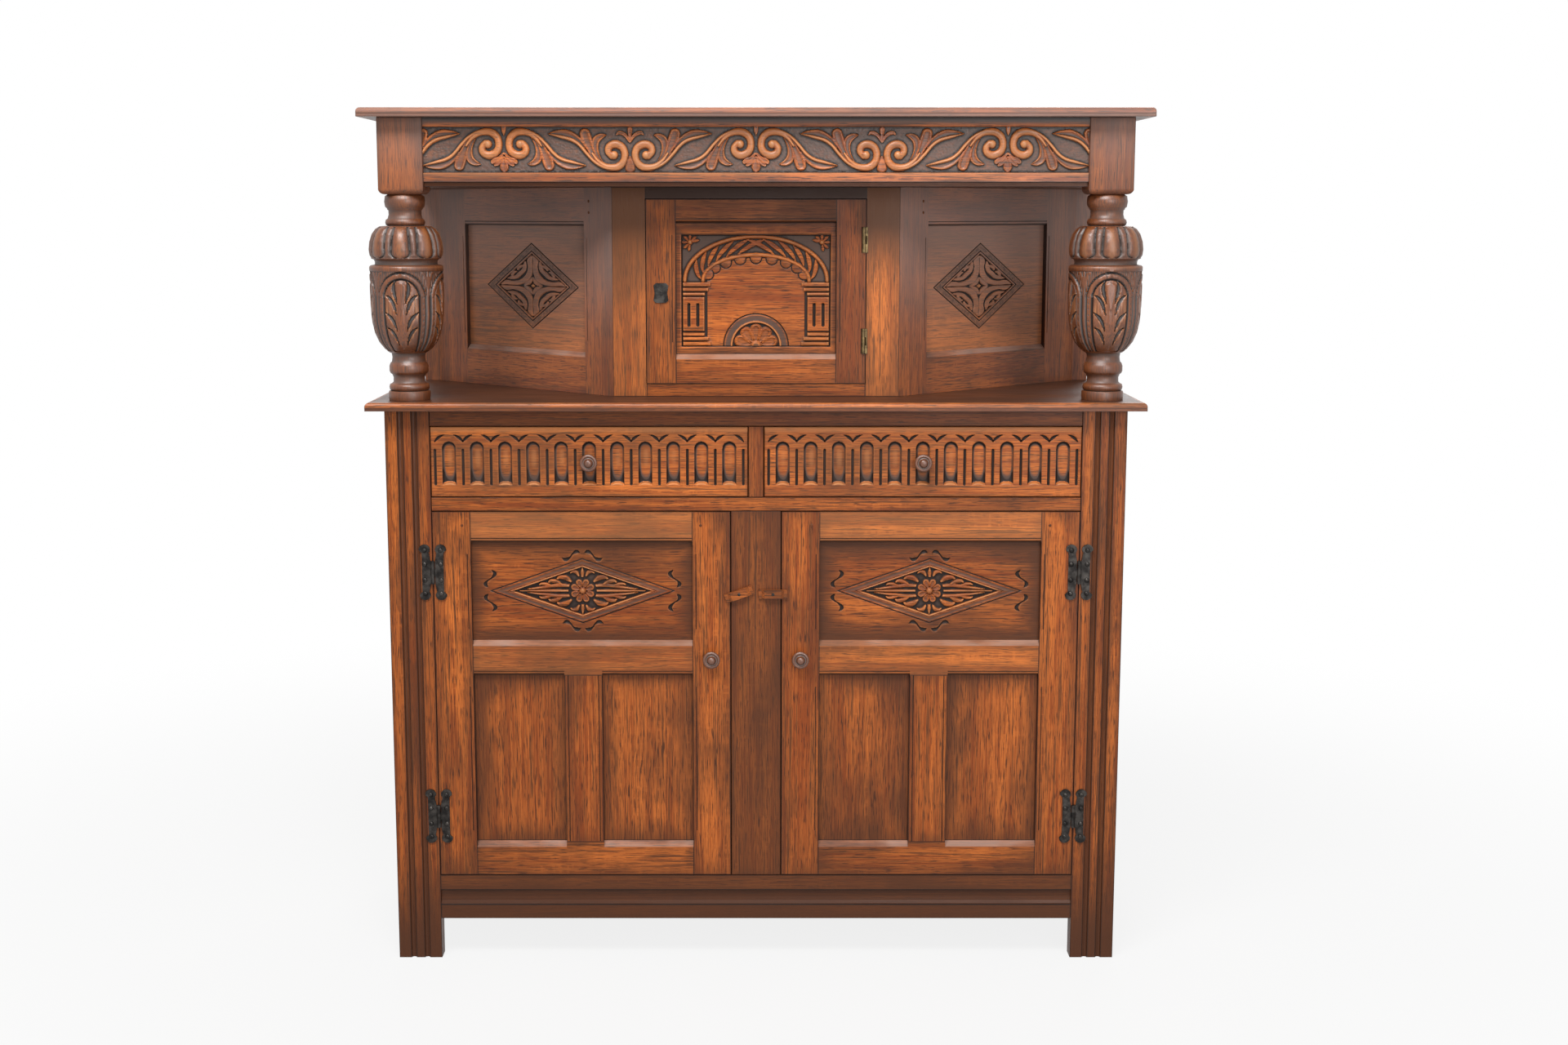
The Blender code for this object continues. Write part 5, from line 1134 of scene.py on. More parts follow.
def upper_carving(x0, x1, z0, z1, field_z):
    carving = Carving(x0, x1, z0 - field_z, z1 - field_z, FINE_STEP)
    x, y = carving.x, carving.y
    inside = np.minimum(FIELD[0] - np.abs(x), np.minimum(y, FIELD[1] - y))
    ground = inside > 0
    carving.lay(ground, -FIELD_SINK, FIELD_TONE)
    across, rise = MIDDLE_ARCH
    round_top = (x / across)**2 + ((y - ARCH_SPRING) / rise)**2 < 1
    plain = np.where(y > ARCH_SPRING, round_top, np.abs(x) < MIDDLE_HALF) & ground
    carving.lay(plain, MIDDLE_LEVEL, 0.32 + 0.22 * unit((1 - np.abs(x) / across) * 4.0))
    for k in range(SCALLOPS):
        angle = radians(16 + 148 * k / (SCALLOPS - 1))
        away = np.hypot(x - across * cos(angle), y - ARCH_SPRING - rise * sin(angle)) / SCALLOP_RADIUS
        carving.raise_by(away, SCALLOP_FLOOR, *SCALLOP_CUT)
        carving.cut(np.where(plain, np.abs(away - 1.0) * SCALLOP_RADIUS, FAR), 1.0, 0.03)
    for side in (-1, 1):
        carve_arch_leaves(carving, side, -FIELD_SINK)
        carve_corner_flower(carving, side, -FIELD_SINK)
    for size in (OUTER_ARCH, INNER_ARCH):
        carving.raise_by(carving.share(arch_line(size, ARCH_BAND)), -FIELD_SINK, ARCH_RISE, 0.0, ARCH_TONE)
    for side in (-1, 1):
        carve_pilaster(carving, side)
    carve_lunette(carving)
    carving.cut(np.abs(inside), 0.6, 0.04)
    carving.weather_and_shading(1.8, 0.22)
    return carving


def make_upper_panel():
    low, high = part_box("upper_door_panel")
    field_z = (low.z + PANEL_TONGUE) / MM + FIELD_ABOVE_OPENING
    carving = upper_carving(low.x / MM, high.x / MM, low.z / MM, high.z / MM, field_z)
    material = oak("upper panel oak", [within_tongues(low, high, "X")], 7.7, 0.012, 0.7, carved=True)
    place = facing_front(0.0, low.y, field_z * MM)
    piece = carved_board("upper_door_panel_carved", carving, place, (high.y - low.y) / MM, material, 0.35)
    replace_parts(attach(piece, "upper_door"), "upper_door_panel")


# Posts: square block, turned collar, gadrooned cover, carved cup

POST_LINE = (
    (24.0, 1240.0), (26.5, 1235.0), (30.5, 1232.5), (31.8, 1224.0), (30.5, 1216.0), (27.5, 1213.5),
    (27.5, 1212.0), (25.6, 1210.5), (25.4, 1204.0), (27.0, 1198.0), (30.0, 1196.0), (31.0, 1192.0),
    (30.0, 1188.2), (27.5, 1187.0), (40.0, 1186.0), (47.0, 1182.0), (53.0, 1174.0), (57.0, 1162.0),
    (58.3, 1150.0), (57.0, 1141.0), (54.0, 1136.0), (50.0, 1134.5), (48.6, 1131.0), (48.6, 1127.0),
    (55.5, 1125.5), (57.5, 1123.5), (57.5, 1080.0), (57.3, 1050.0), (56.0, 1036.0), (52.5, 1020.0),
    (46.5, 1006.0), (38.0, 995.0), (30.0, 989.5), (26.5, 988.0), (25.6, 982.0), (26.5, 975.0),
    (29.0, 972.5), (30.6, 968.0), (30.6, 960.0), (29.0, 956.5), (26.5, 955.0), (24.6, 950.0),
    (24.8, 943.0), (27.0, 940.8), (30.5, 939.0), (31.5, 935.0), (30.8, 931.0), (28.5, 929.2),
    (32.0, 928.5), (32.8, 926.0), (32.8, 918.0), (32.2, 914.6))
GADROONS = 8
COVER_Z = (1137.0, 1185.0)
CUP_RADIUS = 57.5
CUP_Z = (992.0, 1123.0)
CUP_RIM_Z = 1117.0
CUP_ARCHES = 4
CUP_OPENING = 30.6
CUP_BAND = 9.6
CUP_SPRING_Z = 1074.0
CUP_ARCH_RISE = 31.0
CUP_SINK = 2.2
CUP_GOUGES = (
    ((9.0, 1101.5, 0.6), (12.4, 1094.0, 2.8), (11.4, 1084.0, 3.2), (8.6, 1075.0, 2.0), (6.4, 1067.0, 0.6)),
    ((27.0, 1081.0, 0.6), (22.3, 1078.0, 2.2), (16.4, 1072.5, 3.2), (12.0, 1064.0, 2.8), (7.6, 1050.0, 0.6)),
    ((27.5, 1054.0, 0.6), (22.6, 1050.0, 2.2), (16.8, 1044.5, 3.2), (12.4, 1036.5, 2.8), (8.0, 1024.0, 0.6)),
    ((26.5, 1030.0, 0.6), (21.0, 1027.0, 2.0), (15.4, 1021.0, 3.0), (11.6, 1013.0, 2.3), (8.4, 1003.0, 0.6)))
CUP_SPRAYS = (((45.0, 1078.0, 1.0), (43.6, 1096.0, 2.2), (38.0, 1112.0, 2.6), (33.0, 1115.0, 0.6)),
              ((45.1, 1084.0, 1.0), (45.1, 1100.0, 2.0), (45.1, 1114.0, 2.6)))
CUP_GOUGE_CUT = (3.4, 0.0)
CUP_SPRAY_CUT = (2.2, 0.8, 0.45)
CUP_EDGE_HALF = 1.8
CUP_EDGE_CUT = (2.4, 0.0)
CUP_RIB_PITCH = 3.7
CUP_NICKS, CUP_NICK_FOOT, CUP_NICK_PITCH = 9, 1004.0, 9
CUP_NICK_HALF = 0.7
CUP_NICK_CUT = (0.9, 0.1)
LOBE_TONE, RIB_TONE = 0.70, 0.34
LOBE_DEPTH, RIB_RISE = 7.0, 5.0
LOBE_FOOT = 0.18
POST_COLUMNS = 288
POST_ROW = 1.0
POST_TONE_REACH = 5


def post_rows(bottom):
    """Heights and radii down the post, close together, with every corner of the profile kept."""
    line = np.array(POST_LINE)
    rows = []
    for (r0, z0), (r1, z1) in zip(line[:-1], line[1:]):
        count = max(1, int(np.ceil(np.hypot(r1 - r0, z1 - z0) / POST_ROW)))
        t = np.arange(count) / count
        rows.append(np.stack([r0 + (r1 - r0) * t, z0 + (z1 - z0) * t], -1))
    rows.append(line[-1:])
    rows = np.vstack(rows)
    rows[-1, 1] = bottom
    return rows


def cup_carving():
    """One quarter of the cup, drawn flat: an arch filled by a leaf. X is the arc in mm, Y the height."""
    quarter = CUP_RADIUS * pi / CUP_ARCHES
    carving = Carving(-quarter, quarter, CUP_Z[0] - 4, CUP_Z[1] + 1, FINE_STEP)
    x, y = carving.x, carving.y
    stretch = CUP_OPENING / CUP_ARCH_RISE
    arch = np.where(y > CUP_SPRING_Z, np.hypot(x, (y - CUP_SPRING_Z) * stretch), np.abs(x))
    below = y < CUP_RIM_Z
    leaf = arch < CUP_OPENING
    carving.height = np.where(leaf, -CUP_SINK + 1.2 * unit(1 - (arch / CUP_OPENING)**2), 0.0)
    carving.tone = np.where(leaf, 0.48, 0.30)
    outer = (arch > CUP_OPENING + CUP_BAND) & below
    ribs = 0.5 - 0.5 * np.cos(np.abs(x) * 2 * pi / CUP_RIB_PITCH)
    carving.lay(outer, -0.6 - 1.2 * ribs, 0.42 - 0.25 * ribs)
    for edge in (CUP_OPENING, CUP_OPENING + CUP_BAND):
        carving.cut(np.where(below, np.abs(arch - edge) / CUP_EDGE_HALF, FAR), *CUP_EDGE_CUT)
    for sign in (-1, 1):
        for gouge in CUP_GOUGES:
            carving.gouge([(sign * u, v, w) for u, v, w in gouge], *CUP_GOUGE_CUT)
        for spray in CUP_SPRAYS:
            carving.stroke([(sign * u, v, w) for u, v, w in spray], -1.8, *CUP_SPRAY_CUT)
        for k in range(CUP_NICKS):
            u, v = sign * (CUP_OPENING + CUP_BAND / 2), CUP_NICK_FOOT + CUP_NICK_PITCH * k
            carving.gouge([(u, v, CUP_NICK_HALF), (u, v + 1.0, CUP_NICK_HALF)], *CUP_NICK_CUT)
    carving.stroke([(0.0, 996.0, 2.4), (0.0, 1040.0, 3.0), (0.0, 1066.0, 3.4)], -CUP_SINK, 3.0, 1.2, 0.52)
    carving.stroke([(0.0, 1060.0, 3.0), (0.0, 1080.0, 7.4), (0.0, 1092.0, 8.6)], -CUP_SINK, 3.4, 1.0, 0.52)
    carving.weather_and_shading(1.8, 0.32)
    return carving


def cover_relief(z, lobe):
    """Depth and tone of the gadroons; lobe runs from 0 on a lobe's middle to 1 on the rib beside it."""
    along = unit((z - COVER_Z[0]) / (COVER_Z[1] - COVER_Z[0]))
    swell = np.sin(pi * along)**0.35
    foot = unit((LOBE_FOOT - along) / LOBE_FOOT)
    width = 0.70 * np.sqrt(unit(1 - foot**2)) - 0.12 * along
    crown = np.sqrt(unit(1 - (lobe / np.maximum(width, 0.05))**2))
    rib = np.sqrt(unit(1 - ((1 - lobe) / np.maximum(0.9 - width, 0.05))**2))
    depth = swell * (RIB_RISE * np.where(crown > 0, 0.0, rib) - LOBE_DEPTH * (1 - crown))
    # Lobes lighter towards their crowns, darker between them: painted highlight and painted shade
    tone = np.where(crown > 0.05, LOBE_TONE * crown**1.5, RIB_TONE * rib)
    return depth, tone


def make_post(side, sign):
    node = f"post_{side}"
    low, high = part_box(node)
    rows = post_rows(low.z / MM)
    radius, z = rows[:, 0][:, None], rows[:, 1][:, None]
    angle = np.linspace(0.0, 2 * pi, POST_COLUMNS, endpoint=False)[None, :]
    turn = (angle + pi / 2) % (2 * pi)
    reach = np.repeat(radius, POST_COLUMNS, 1)
    # Darker where the profile sinks, lighter where it stands out: soiling and wear with painted shade and
    # painted highlight
    around = np.convolve(np.pad(rows[:, 0], POST_TONE_REACH, mode="edge"), np.ones(2 * POST_TONE_REACH + 1), "valid")
    relief = radius - around[:, None] / (2 * POST_TONE_REACH + 1)
    tone = np.repeat(0.42 + np.clip(relief * 0.24, -0.40, 0.30), POST_COLUMNS, 1)
    lobe = np.abs((turn * GADROONS / (2 * pi) + 0.5) % 1.0 - 0.5) * 2
    covered = (z > COVER_Z[0] - 1) & (z < COVER_Z[1])
    depth, shade = cover_relief(z, lobe)
    reach, tone = np.where(covered, reach + depth, reach), np.where(covered, shade, tone)
    cup = cup_carving()
    local = ((turn + pi / CUP_ARCHES) % (2 * pi / CUP_ARCHES) - pi / CUP_ARCHES) * CUP_RADIUS
    column = np.clip(np.round((local - cup.xs[0]) / (cup.xs[1] - cup.xs[0])), 0, len(cup.xs) - 1).astype(int)
    row = np.clip(np.round((z - cup.ys[0]) / (cup.ys[1] - cup.ys[0])), 0, len(cup.ys) - 1).astype(int)
    in_cup = (z > CUP_Z[0]) & (z < CUP_Z[1])
    reach = np.where(in_cup, reach + cup.height[row, column], reach)
    tone = np.where(in_cup, cup.tone[row, column], tone)
    points = np.stack([reach * np.cos(angle), reach * np.sin(angle), np.repeat(z, POST_COLUMNS, 1)], -1)
    index = np.arange(reach.size).reshape(reach.shape)
    following = np.roll(index, -1, axis=1)
    faces = np.stack([index[1:], following[1:], following[:-1], index[:-1]], -1).reshape(-1, 4).tolist()
    faces += [index[0].tolist(), index[-1, ::-1].tolist()]
    x, y = (low.x + high.x) / 2, (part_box("front_stile_left")[0].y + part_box(f"frieze_{side}")[0].y) / 2
    material = oak(f"post oak {side}", [Member((-1, -1, 0), (1, 1, 1.4), "Z", 0.75)], 8.3 + sign, carved=True,
                   gloss=0.7)
    piece = carved_piece(f"{node}_turned", points.reshape(-1, 3) * MM, faces, tone.ravel(),
                         Matrix.Translation((x, y, 0.0)), material, 0.35)
    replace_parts(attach(piece, "case"), node)
    make_block(side, x, y, high.z)


BLOCK_BOTTOM = 1.235
BLOCK_ROUND = 0.009
BLOCK_ARRIS = 0.0015


def make_block(side, x, y, top):
    """Square block over the post, its lower corners rounded."""
    low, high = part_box("front_stile_right")
    half, height = (high.x - low.x) / 2, top - BLOCK_BOTTOM
    bm = bmesh.new()
    size = Matrix.Diagonal((2 * half, 2 * half, height, 1.0))
    bmesh.ops.create_cube(bm, size=1.0, matrix=Matrix.Translation((x, y, BLOCK_BOTTOM + height / 2)) @ size)
    foot = [e for e in bm.edges if all(v.co.z < BLOCK_BOTTOM + height / 2 for v in e.verts)]
    bmesh.ops.bevel(bm, geom=foot, offset=BLOCK_ROUND, segments=5, profile=0.5, affect="EDGES")
    tall = [e for e in bm.edges if abs(e.verts[0].co.z - e.verts[1].co.z) > height / 2]
    bmesh.ops.bevel(bm, geom=tall, offset=BLOCK_ARRIS, segments=2, profile=0.5, affect="EDGES")
    mesh = bpy.data.meshes.new(f"post_{side}_block")
    bm.to_mesh(mesh)
    bm.free()
    mesh.shade_smooth()
    mesh.set_sharp_from_angle(angle=radians(35))
    board = Member((x - half, y - half, BLOCK_BOTTOM), (x + half, y + half, top), "Z", 0.45)
    mesh.materials.append(oak(f"block oak {side}", [board], 9.7 + x, 0.012, 0.5, CANOPY_DUST_AND_SHEEN, line=OAK_DARK))
    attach(add_object(f"post_{side}_block", mesh), "case")


# Plain boards of the frame keep their CAD shape and get their own oak

def dress(node, material):
    NODES[node].data.materials.clear()
    NODES[node].data.materials.append(material)


# The top rail, under the main board, and the soffit are painted dark: painted shade
PLAIN_BOARDS = (
    ("rear_stile_left", "Z", 0.35), ("rear_stile_right", "Z", 0.35), ("centre_stile", "Z", 0.68),
    ("drawer_divider", "Z", 0.30), ("top_rail", "X", 0.60), ("drawer_rail", "X", 0.10),
    ("soffit_board", "X", 1.0), ("frieze_left", "Y", 0.10), ("frieze_right", "Y", 0.10),
    ("turn_button_left", "X", 0.1), ("turn_button_right", "X", 0.1))
INSIDE_BOARDS = (("back_upper", "Z", "X", 7), ("back_lower", "Z", "X", 7), ("case_floor", "X", "Y", 3),
                 ("drawer_deck", "X", "Y", 3), ("drawer_left_box", "Y", "X", 1),
                 ("drawer_right_box", "Y", "X", 1))


def split_boards(node, axis, across, count):
    """Boards laid side by side across a node, a little uneven in shade."""
    low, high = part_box(node)
    k = "XYZ".index(across)
    members = []
    for n in range(count):
        start, stop = low.copy(), high.copy()
        start[k] = low[k] + (high[k] - low[k]) * n / count
        stop[k] = low[k] + (high[k] - low[k]) * (n + 1) / count
        members.append(Member(start, stop, axis, 0.12 * (n * 5 % 3)))
    return members


EDGE_STRIP = 0.009
NOSING_UNDERSIDE = 0.005
STILE_HOLLOW = 0.0085
STILE_BEAD = 0.0135
STILE_SHADES = (0.15, 0.8, 0.2, 0.8, 0.15)
RAIL_BAND = 0.025
RAIL_HOLLOW = 0.025
RAIL_SHADES = (0.9, 1.2, 0.75)
# Nosed boards: the nosing's underside painted dark as painted shade, the front strip paler on the main board
# as a painted highlight, the tops darker
NOSED_BOARDS = (("main_board", -0.1, 71.0, None), ("cornice_board", 0.05, 75.0, CANOPY_DUST_AND_SHEEN))
NOSING_SHADE, BOARD_END_SHADE, BOARD_TOP_SHADE = 0.7, 0.3, 1.45
END_UPRIGHT_SHADE = 0.25
END_ROWS = (("Y", 0.3), ("Z", 0.35), ("Y", 0.2), ("Z", 0.35), ("Y", 0.2))


def make_front_stiles():
    """Corner stiles: a bead between two hollows painted dark, as painted shade."""
    for k, (side, _) in enumerate(SIDES):
        node = f"front_stile_{side}"
        low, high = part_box(node)
        middle = (low.x + high.x) / 2
        left, right = middle - STILE_BEAD / 2, middle + STILE_BEAD / 2
        cuts = [low.x, left - STILE_HOLLOW, left, right, right + STILE_HOLLOW, high.x]
        members = [Member((x0, low.y, low.z), (x1, high.y, high.z), "Z", shade)
                   for x0, x1, shade in zip(cuts, cuts[1:], STILE_SHADES)]
        dress(node, oak(f"{node} oak", members, 21.0 + 3.1 * k, 0.006, 0.4))


def make_bottom_rail():
    """Bottom rail: a hollow between two bands, dark near the floor and darkest in the hollow: soiling and
    painted shade.
    """
    low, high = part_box("bottom_rail")
    cuts = [low.z, high.z - RAIL_BAND - RAIL_HOLLOW, high.z - RAIL_BAND, high.z]
    members = [Member((low.x, low.y, z0), (high.x, high.y, z1), "X", shade)
               for z0, z1, shade in zip(cuts, cuts[1:], RAIL_SHADES)]
    dress("bottom_rail", oak("bottom rail oak", members, 27.0, 0.006, 0.5))


def make_boards():
    for k, (node, axis, shade) in enumerate(PLAIN_BOARDS):
        dress(node, oak(f"{node} oak", [board_of(node, axis, shade)], 11.0 + 3.7 * k, 0.010, 0.4))
    for node, worn, seed, dust_and_sheen in NOSED_BOARDS:
        low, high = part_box(node)
        front, left, right = low.y + EDGE_STRIP, low.x + EDGE_STRIP, high.x - EDGE_STRIP
        under = low.z + NOSING_UNDERSIDE
        # Painted shade under the nosing, painted highlight and wear on the front strip
        members = [Member(low, (high.x, front, under), "X", NOSING_SHADE),
                   Member((low.x, low.y, under), (high.x, front, high.z), "X", worn),
                   Member((low.x, front, low.z), (left, high.y, high.z), "X", BOARD_END_SHADE),
                   Member((right, front, low.z), high, "X", BOARD_END_SHADE),
                   Member((left, front, low.z), (right, high.y, high.z), "X", BOARD_TOP_SHADE)]
        dress(node, oak(f"{node} oak", members, seed, 0.004, 0.2, dust_and_sheen, OAK_DARK, gloss=0.35))
    for k, (node, axis, across, count) in enumerate(INSIDE_BOARDS):
        dress(node, raw_oak(f"{node} raw oak", split_boards(node, axis, across, count), 2.9 * k))


def make_ends():
    """Framed ends of the lower case: rails along Y, upright edges and two sunk panels."""
    door_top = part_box("door_left_frame")[1].z
    for k, (side, _) in enumerate(SIDES):
        node = f"side_{side}"
        low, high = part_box(node)
        half = SIDE_RAIL / 2
        y = (low.y, low.y + half, high.y - half, high.y)
        z = (low.z, low.z + SIDE_RAIL, door_top - half, door_top + half, high.z - half, high.z)
        members = [Member((low.x, y[n], low.z), (high.x, y[n + 1], high.z), "Z", END_UPRIGHT_SHADE)
                   for n in (0, 2)]
        members += [Member((low.x, y[1], z[n]), (high.x, y[2], z[n + 1]), axis, shade)
                    for n, (axis, shade) in enumerate(END_ROWS)]
        dress(node, oak(f"{node} oak", members, 31.0 + 2.3 * k, 0.020, 0.6))


def make_doors():
    for k, (side, _) in enumerate(SIDES):
        low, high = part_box(f"door_{side}_panel_lower")
        upper_low, upper_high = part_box(f"door_{side}_panel_upper")
        frame_low, frame_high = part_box(f"door_{side}_frame")
        middle, y = (low.x + high.x) / 2, (frame_low.y, frame_high.y)
        x = (low.x + PANEL_TONGUE, middle - DOOR_MUNTIN / 2, middle + DOOR_MUNTIN / 2, high.x - PANEL_TONGUE)
        z = (low.z + PANEL_TONGUE, high.z - PANEL_TONGUE,
             upper_low.z + PANEL_TONGUE, upper_high.z - PANEL_TONGUE)
        panes = [Member((x[0], low.y, z[0]), (x[1], high.y, z[1]), "Z", 0.15),
                 Member((x[2], low.y, z[0]), (x[3], high.y, z[1]), "Z", 0.10)]
        dress(f"door_{side}_panel_lower", oak(f"lower panel oak {side}", panes, 13.0 + k, 0.030, 0.65))
        members = frame_members((frame_low.x, frame_high.x), (frame_low.z, frame_high.z), (x[0], x[3]),
                                (z[0], z[3]), y, (0.0, 0.0, 0.05, -0.2))
        members.append(Member((x[0], y[0], z[1]), (x[3], y[1], z[2]), "X", -0.1))
        members.append(Member((x[1], y[0], z[0]), (x[2], y[1], z[1]), "Z"))
        dress(f"door_{side}_frame", oak(f"door frame oak {side}", members, 15.0 + k, 0.018, 0.45,
                                        face=(frame_low.y, 1.0, frame_low, frame_high)))


def make_upper_frames():
    low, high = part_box("upper_door_panel")
    frame_low, frame_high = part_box("upper_door_frame")
    open_x = (low.x + PANEL_TONGUE, high.x - PANEL_TONGUE)
    open_z = (low.z + PANEL_TONGUE, high.z - PANEL_TONGUE)
    # The top rail painted darker: painted shadow of the canopy
    members = frame_members((frame_low.x, frame_high.x), (frame_low.z, frame_high.z), open_x, open_z,
                            (frame_low.y, frame_high.y), (0.25, 0.3, 0.12, 0.45))
    dress("upper_door_frame", oak("upper door oak", members, 17.0, 0.016, 0.4,
                                  face=(frame_low.y, 1.0, frame_low, frame_high)))
    # The surround's top rail painted almost black and the tops of its stiles darkened: painted shadow of the
    # canopy, with some soiling
    low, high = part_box("surround_frame")
    members = frame_members((low.x, high.x), (low.z, high.z), (frame_low.x, frame_high.x),
                            (frame_low.z, frame_high.z), (low.y, high.y), (-0.1, -0.1, 0.2, 1.6))
    dress("surround_frame", oak("surround oak", members, 19.0, 0.012, 0.4, grime_and_shade=CANOPY_SHADE_AND_GRIME))


# Turned knobs

KNOB_LINE = ((10.5, 0.0), (10.5, 1.4), (9.6, 2.6), (8.0, 4.0), (7.4, 6.0), (7.6, 8.0), (9.0, 10.2),
             (11.6, 11.8), (13.2, 12.6), (14.0, 14.6), (13.6, 16.6), (12.2, 17.9), (10.4, 18.2), (9.0, 17.3),
             (7.8, 17.2), (6.8, 18.2), (6.3, 19.6), (5.9, 21.0), (4.9, 22.6), (3.0, 23.6), (0.8, 24.0))
KNOB_GROOVE = (8.4, 17.3)
KNOB_NECK = 6.0
KNOB_DEEP_TONE, KNOB_TONE_RANGE = 0.06, 0.48
KNOB_COLUMNS = 40


def make_knob(node, body, seed):
    low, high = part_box(node)
    line = smooth_line(KNOB_LINE, 4)
    angle = np.linspace(0.0, 2 * pi, KNOB_COLUMNS, endpoint=False)[None, :]
    reach, out = line[:, :1], np.repeat(line[:, 1:], KNOB_COLUMNS, 1)
    points = np.stack([reach * np.cos(angle), reach * np.sin(angle), out], -1).reshape(-1, 3) * MM
    index = np.arange(out.size).reshape(out.shape)
    following = np.roll(index, -1, axis=1)
    faces = np.stack([index[:-1], following[:-1], following[1:], index[1:]], -1).reshape(-1, 4).tolist()
    faces += [index[0, ::-1].tolist(), index[-1].tolist()]
    groove = np.abs(line[:, 1] - KNOB_GROOVE[1]) + np.abs(line[:, 0] - KNOB_GROOVE[0])
    hollow = np.minimum(groove, np.abs(line[:, 1] - KNOB_NECK) / 2)
    tone = np.repeat(KNOB_DEEP_TONE + KNOB_TONE_RANGE * unit(hollow / 2.2), KNOB_COLUMNS)
    material = oak(f"{node} oak", [Member(low, high, "Z", 0.9)], seed, 0.001, 0.0, line=OAK_DARK, carved=True,
                   gloss=0.9)
    piece = carved_piece(f"{node}_turned", points, faces, tone,
                         facing_front((low.x + high.x) / 2, high.y, (low.z + high.z) / 2), material, 1.0)
    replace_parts(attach(piece, body), node)


def make_knobs():
    for k, (side, _) in enumerate(SIDES):
        make_knob(f"drawer_{side}_knob", f"drawer_{side}", 41.0 + k)
        make_knob(f"door_{side}_knob", f"door_{side}", 44.0 + k)


# Ironwork

NAIL_RADIUS = 0.0040
NAIL_RISE = 0.0026
NAIL_ROWS = (-0.0345, -0.0126, 0.0130, 0.0355)
LEAF_WIDTH = 0.018
LEAF_FACE = 0.0042
SCREW_RADIUS = 0.0026
SCREW_RISE = 0.0008
KEYHOLE_RADIUS = 0.0045
KEYHOLE_ROWS = (0.0035, -0.0045)


def dome_mesh(name, radius, rise, places, steps=12):
    """Rounded heads at places in a plane, standing out along Z."""
    bm = bmesh.new()
    for x, y in places:
        rings = []
        for k in range(steps // 2):
            share = k / (steps // 2) * pi / 2
            reach, height = radius * cos(share), rise * sin(share)
            turns = [2 * pi * a / steps for a in range(steps)]
            rings.append([bm.verts.new((x + reach * cos(t), y + reach * sin(t), height)) for t in turns])
        tip = bm.verts.new((x, y, rise))
        bm.faces.new(rings[0])
        for lower, upper in zip(rings, rings[1:]):
            for a in range(steps):
                bm.faces.new((lower[a], lower[a - 1], upper[a - 1], upper[a]))
        for a in range(steps):
            bm.faces.new((rings[-1][a], rings[-1][a - 1], tip))
    bmesh.ops.recalc_face_normals(bm, faces=bm.faces)
    mesh = bpy.data.meshes.new(name)
    bm.to_mesh(mesh)
    bm.free()
    mesh.shade_smooth()
    return mesh


def add_heads(name, radius, rise, places, plane, material, body):
    mesh = dome_mesh(name, radius, rise, places)
    mesh.transform(plane)
    if plane.determinant() < 0:
        mesh.flip_normals()
    mesh.materials.append(material)
    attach(add_object(name, mesh), body)


PEG_RADIUS = 0.0024
PEG_RISE = 0.0005
PEG_FROM_EDGE = 0.012
PEG_FROM_TOP = (0.022, 0.040)


def make_pegs():
    """Ends of the pegs that hold the tenons, on the doors' top corners and the wings' inner stiles."""
    wood = oak("peg oak", [Member((-1.0, -1.0, -1.0), (1.0, 1.0, 2.0), "Y", 0.9)], 51.0)
    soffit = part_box("soffit_board")[0].z
    for side, sign in SIDES:
        low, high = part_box(f"door_{side}_frame")
        pegs = [(x, high.z - PEG_FROM_TOP[0]) for x in (low.x + SIDE_RAIL / 2 + PEG_FROM_EDGE,
                                                        high.x - SIDE_RAIL / 2 - PEG_FROM_EDGE)]
        add_heads(f"door_{side}_pegs", PEG_RADIUS, PEG_RISE, pegs, facing_front(0.0, low.y, 0.0), wood,
                  f"door_{side}")
        pegs = [(WING_INNER_STILE - PEG_FROM_EDGE, soffit - drop) for drop in PEG_FROM_TOP]
        add_heads(f"wing_{side}_pegs", PEG_RADIUS, PEG_RISE, pegs, wing_frame(sign)[0], wood, "case")


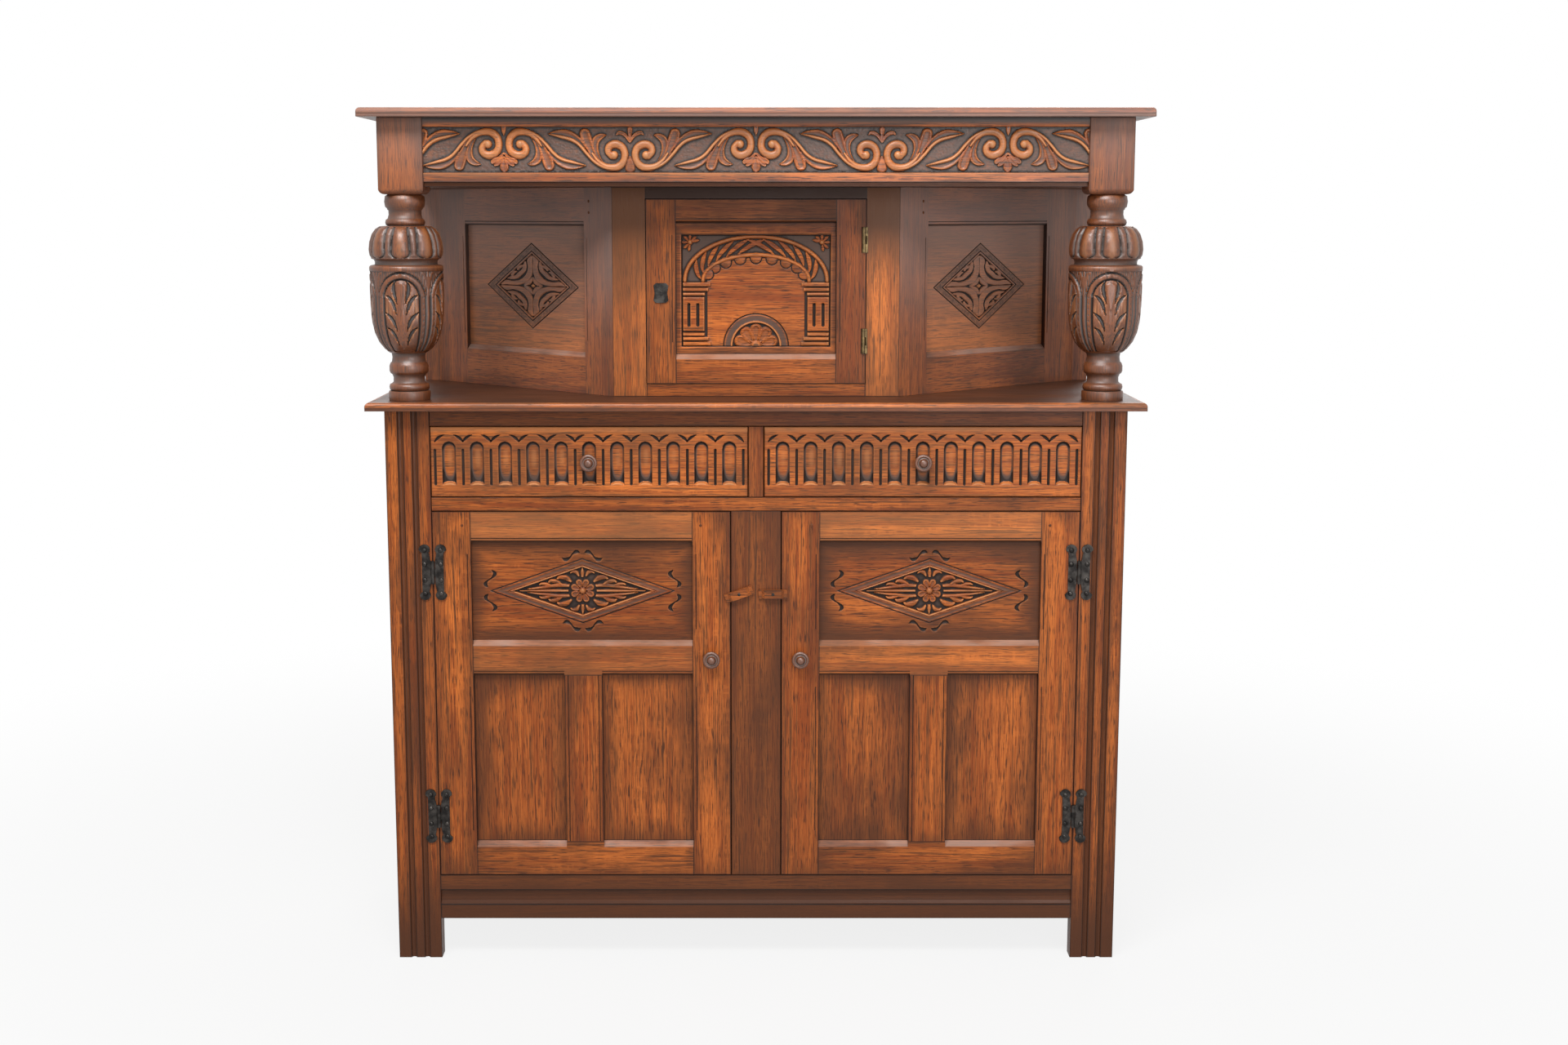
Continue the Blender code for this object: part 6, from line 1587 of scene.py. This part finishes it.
def make_ironwork():
    iron = metal("black iron", (0.018, 0.016, 0.015), (0.070, 0.062, 0.056), 0.30)
    brass = metal("aged brass", (0.075, 0.052, 0.026), (0.24, 0.165, 0.075), 0.36)
    steel = metal("lock steel", (0.16, 0.155, 0.15), (0.36, 0.35, 0.33), 0.34)
    for side, sign in SIDES:
        for place in ("top", "bottom"):
            for leaf, body in (("moving", f"door_{side}"), ("fixed", "case")):
                node = f"door_{side}_hinge_{place}_{leaf}"
                dress(node, iron)
                low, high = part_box(node)
                outer = (leaf == "fixed") == (sign > 0)
                x = high.x - LEAF_WIDTH / 2 if outer else low.x + LEAF_WIDTH / 2
                nails = [(x, (low.z + high.z) / 2 + row) for row in NAIL_ROWS]
                plane = facing_front(0.0, low.y + LEAF_FACE, 0.0)
                add_heads(f"{node}_nails", NAIL_RADIUS, NAIL_RISE, nails, plane, iron, body)
        low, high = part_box(f"turn_button_{side}")
        middle = ((low.x + high.x) / 2, (low.z + high.z) / 2)
        plane = facing_front(0.0, low.y, 0.0)
        add_heads(f"turn_button_{side}_screw", SCREW_RADIUS, SCREW_RISE, [middle], plane, iron,
                  f"turn_button_{side}")
    for place in ("top", "bottom"):
        for leaf in ("moving", "fixed"):
            dress(f"upper_hinge_{place}_{leaf}", brass)
    dress("upper_door_escutcheon", iron)
    # Dark iron discs behind the keyhole: a dark piece standing in for the shade inside the lock
    low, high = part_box("upper_door_escutcheon")
    x, z = (low.x + high.x) / 2, (low.z + high.z) / 2
    add_heads("upper_keyhole_shade", KEYHOLE_RADIUS, SCREW_RISE, [(x, z + row) for row in KEYHOLE_ROWS],
              facing_front(0.0, high.y, 0.0), iron, "upper_door")
    dress("upper_lock_bolt", steel)


make_camera()
make_studio()
make_boards()
make_front_stiles()
make_bottom_rail()
make_ends()
make_doors()
make_upper_frames()
make_frieze()
make_drawers()
make_door_panels()
make_wings()
make_upper_panel()
for side, sign in SIDES:
    make_post(side, sign)
make_knobs()
make_pegs()
make_ironwork()
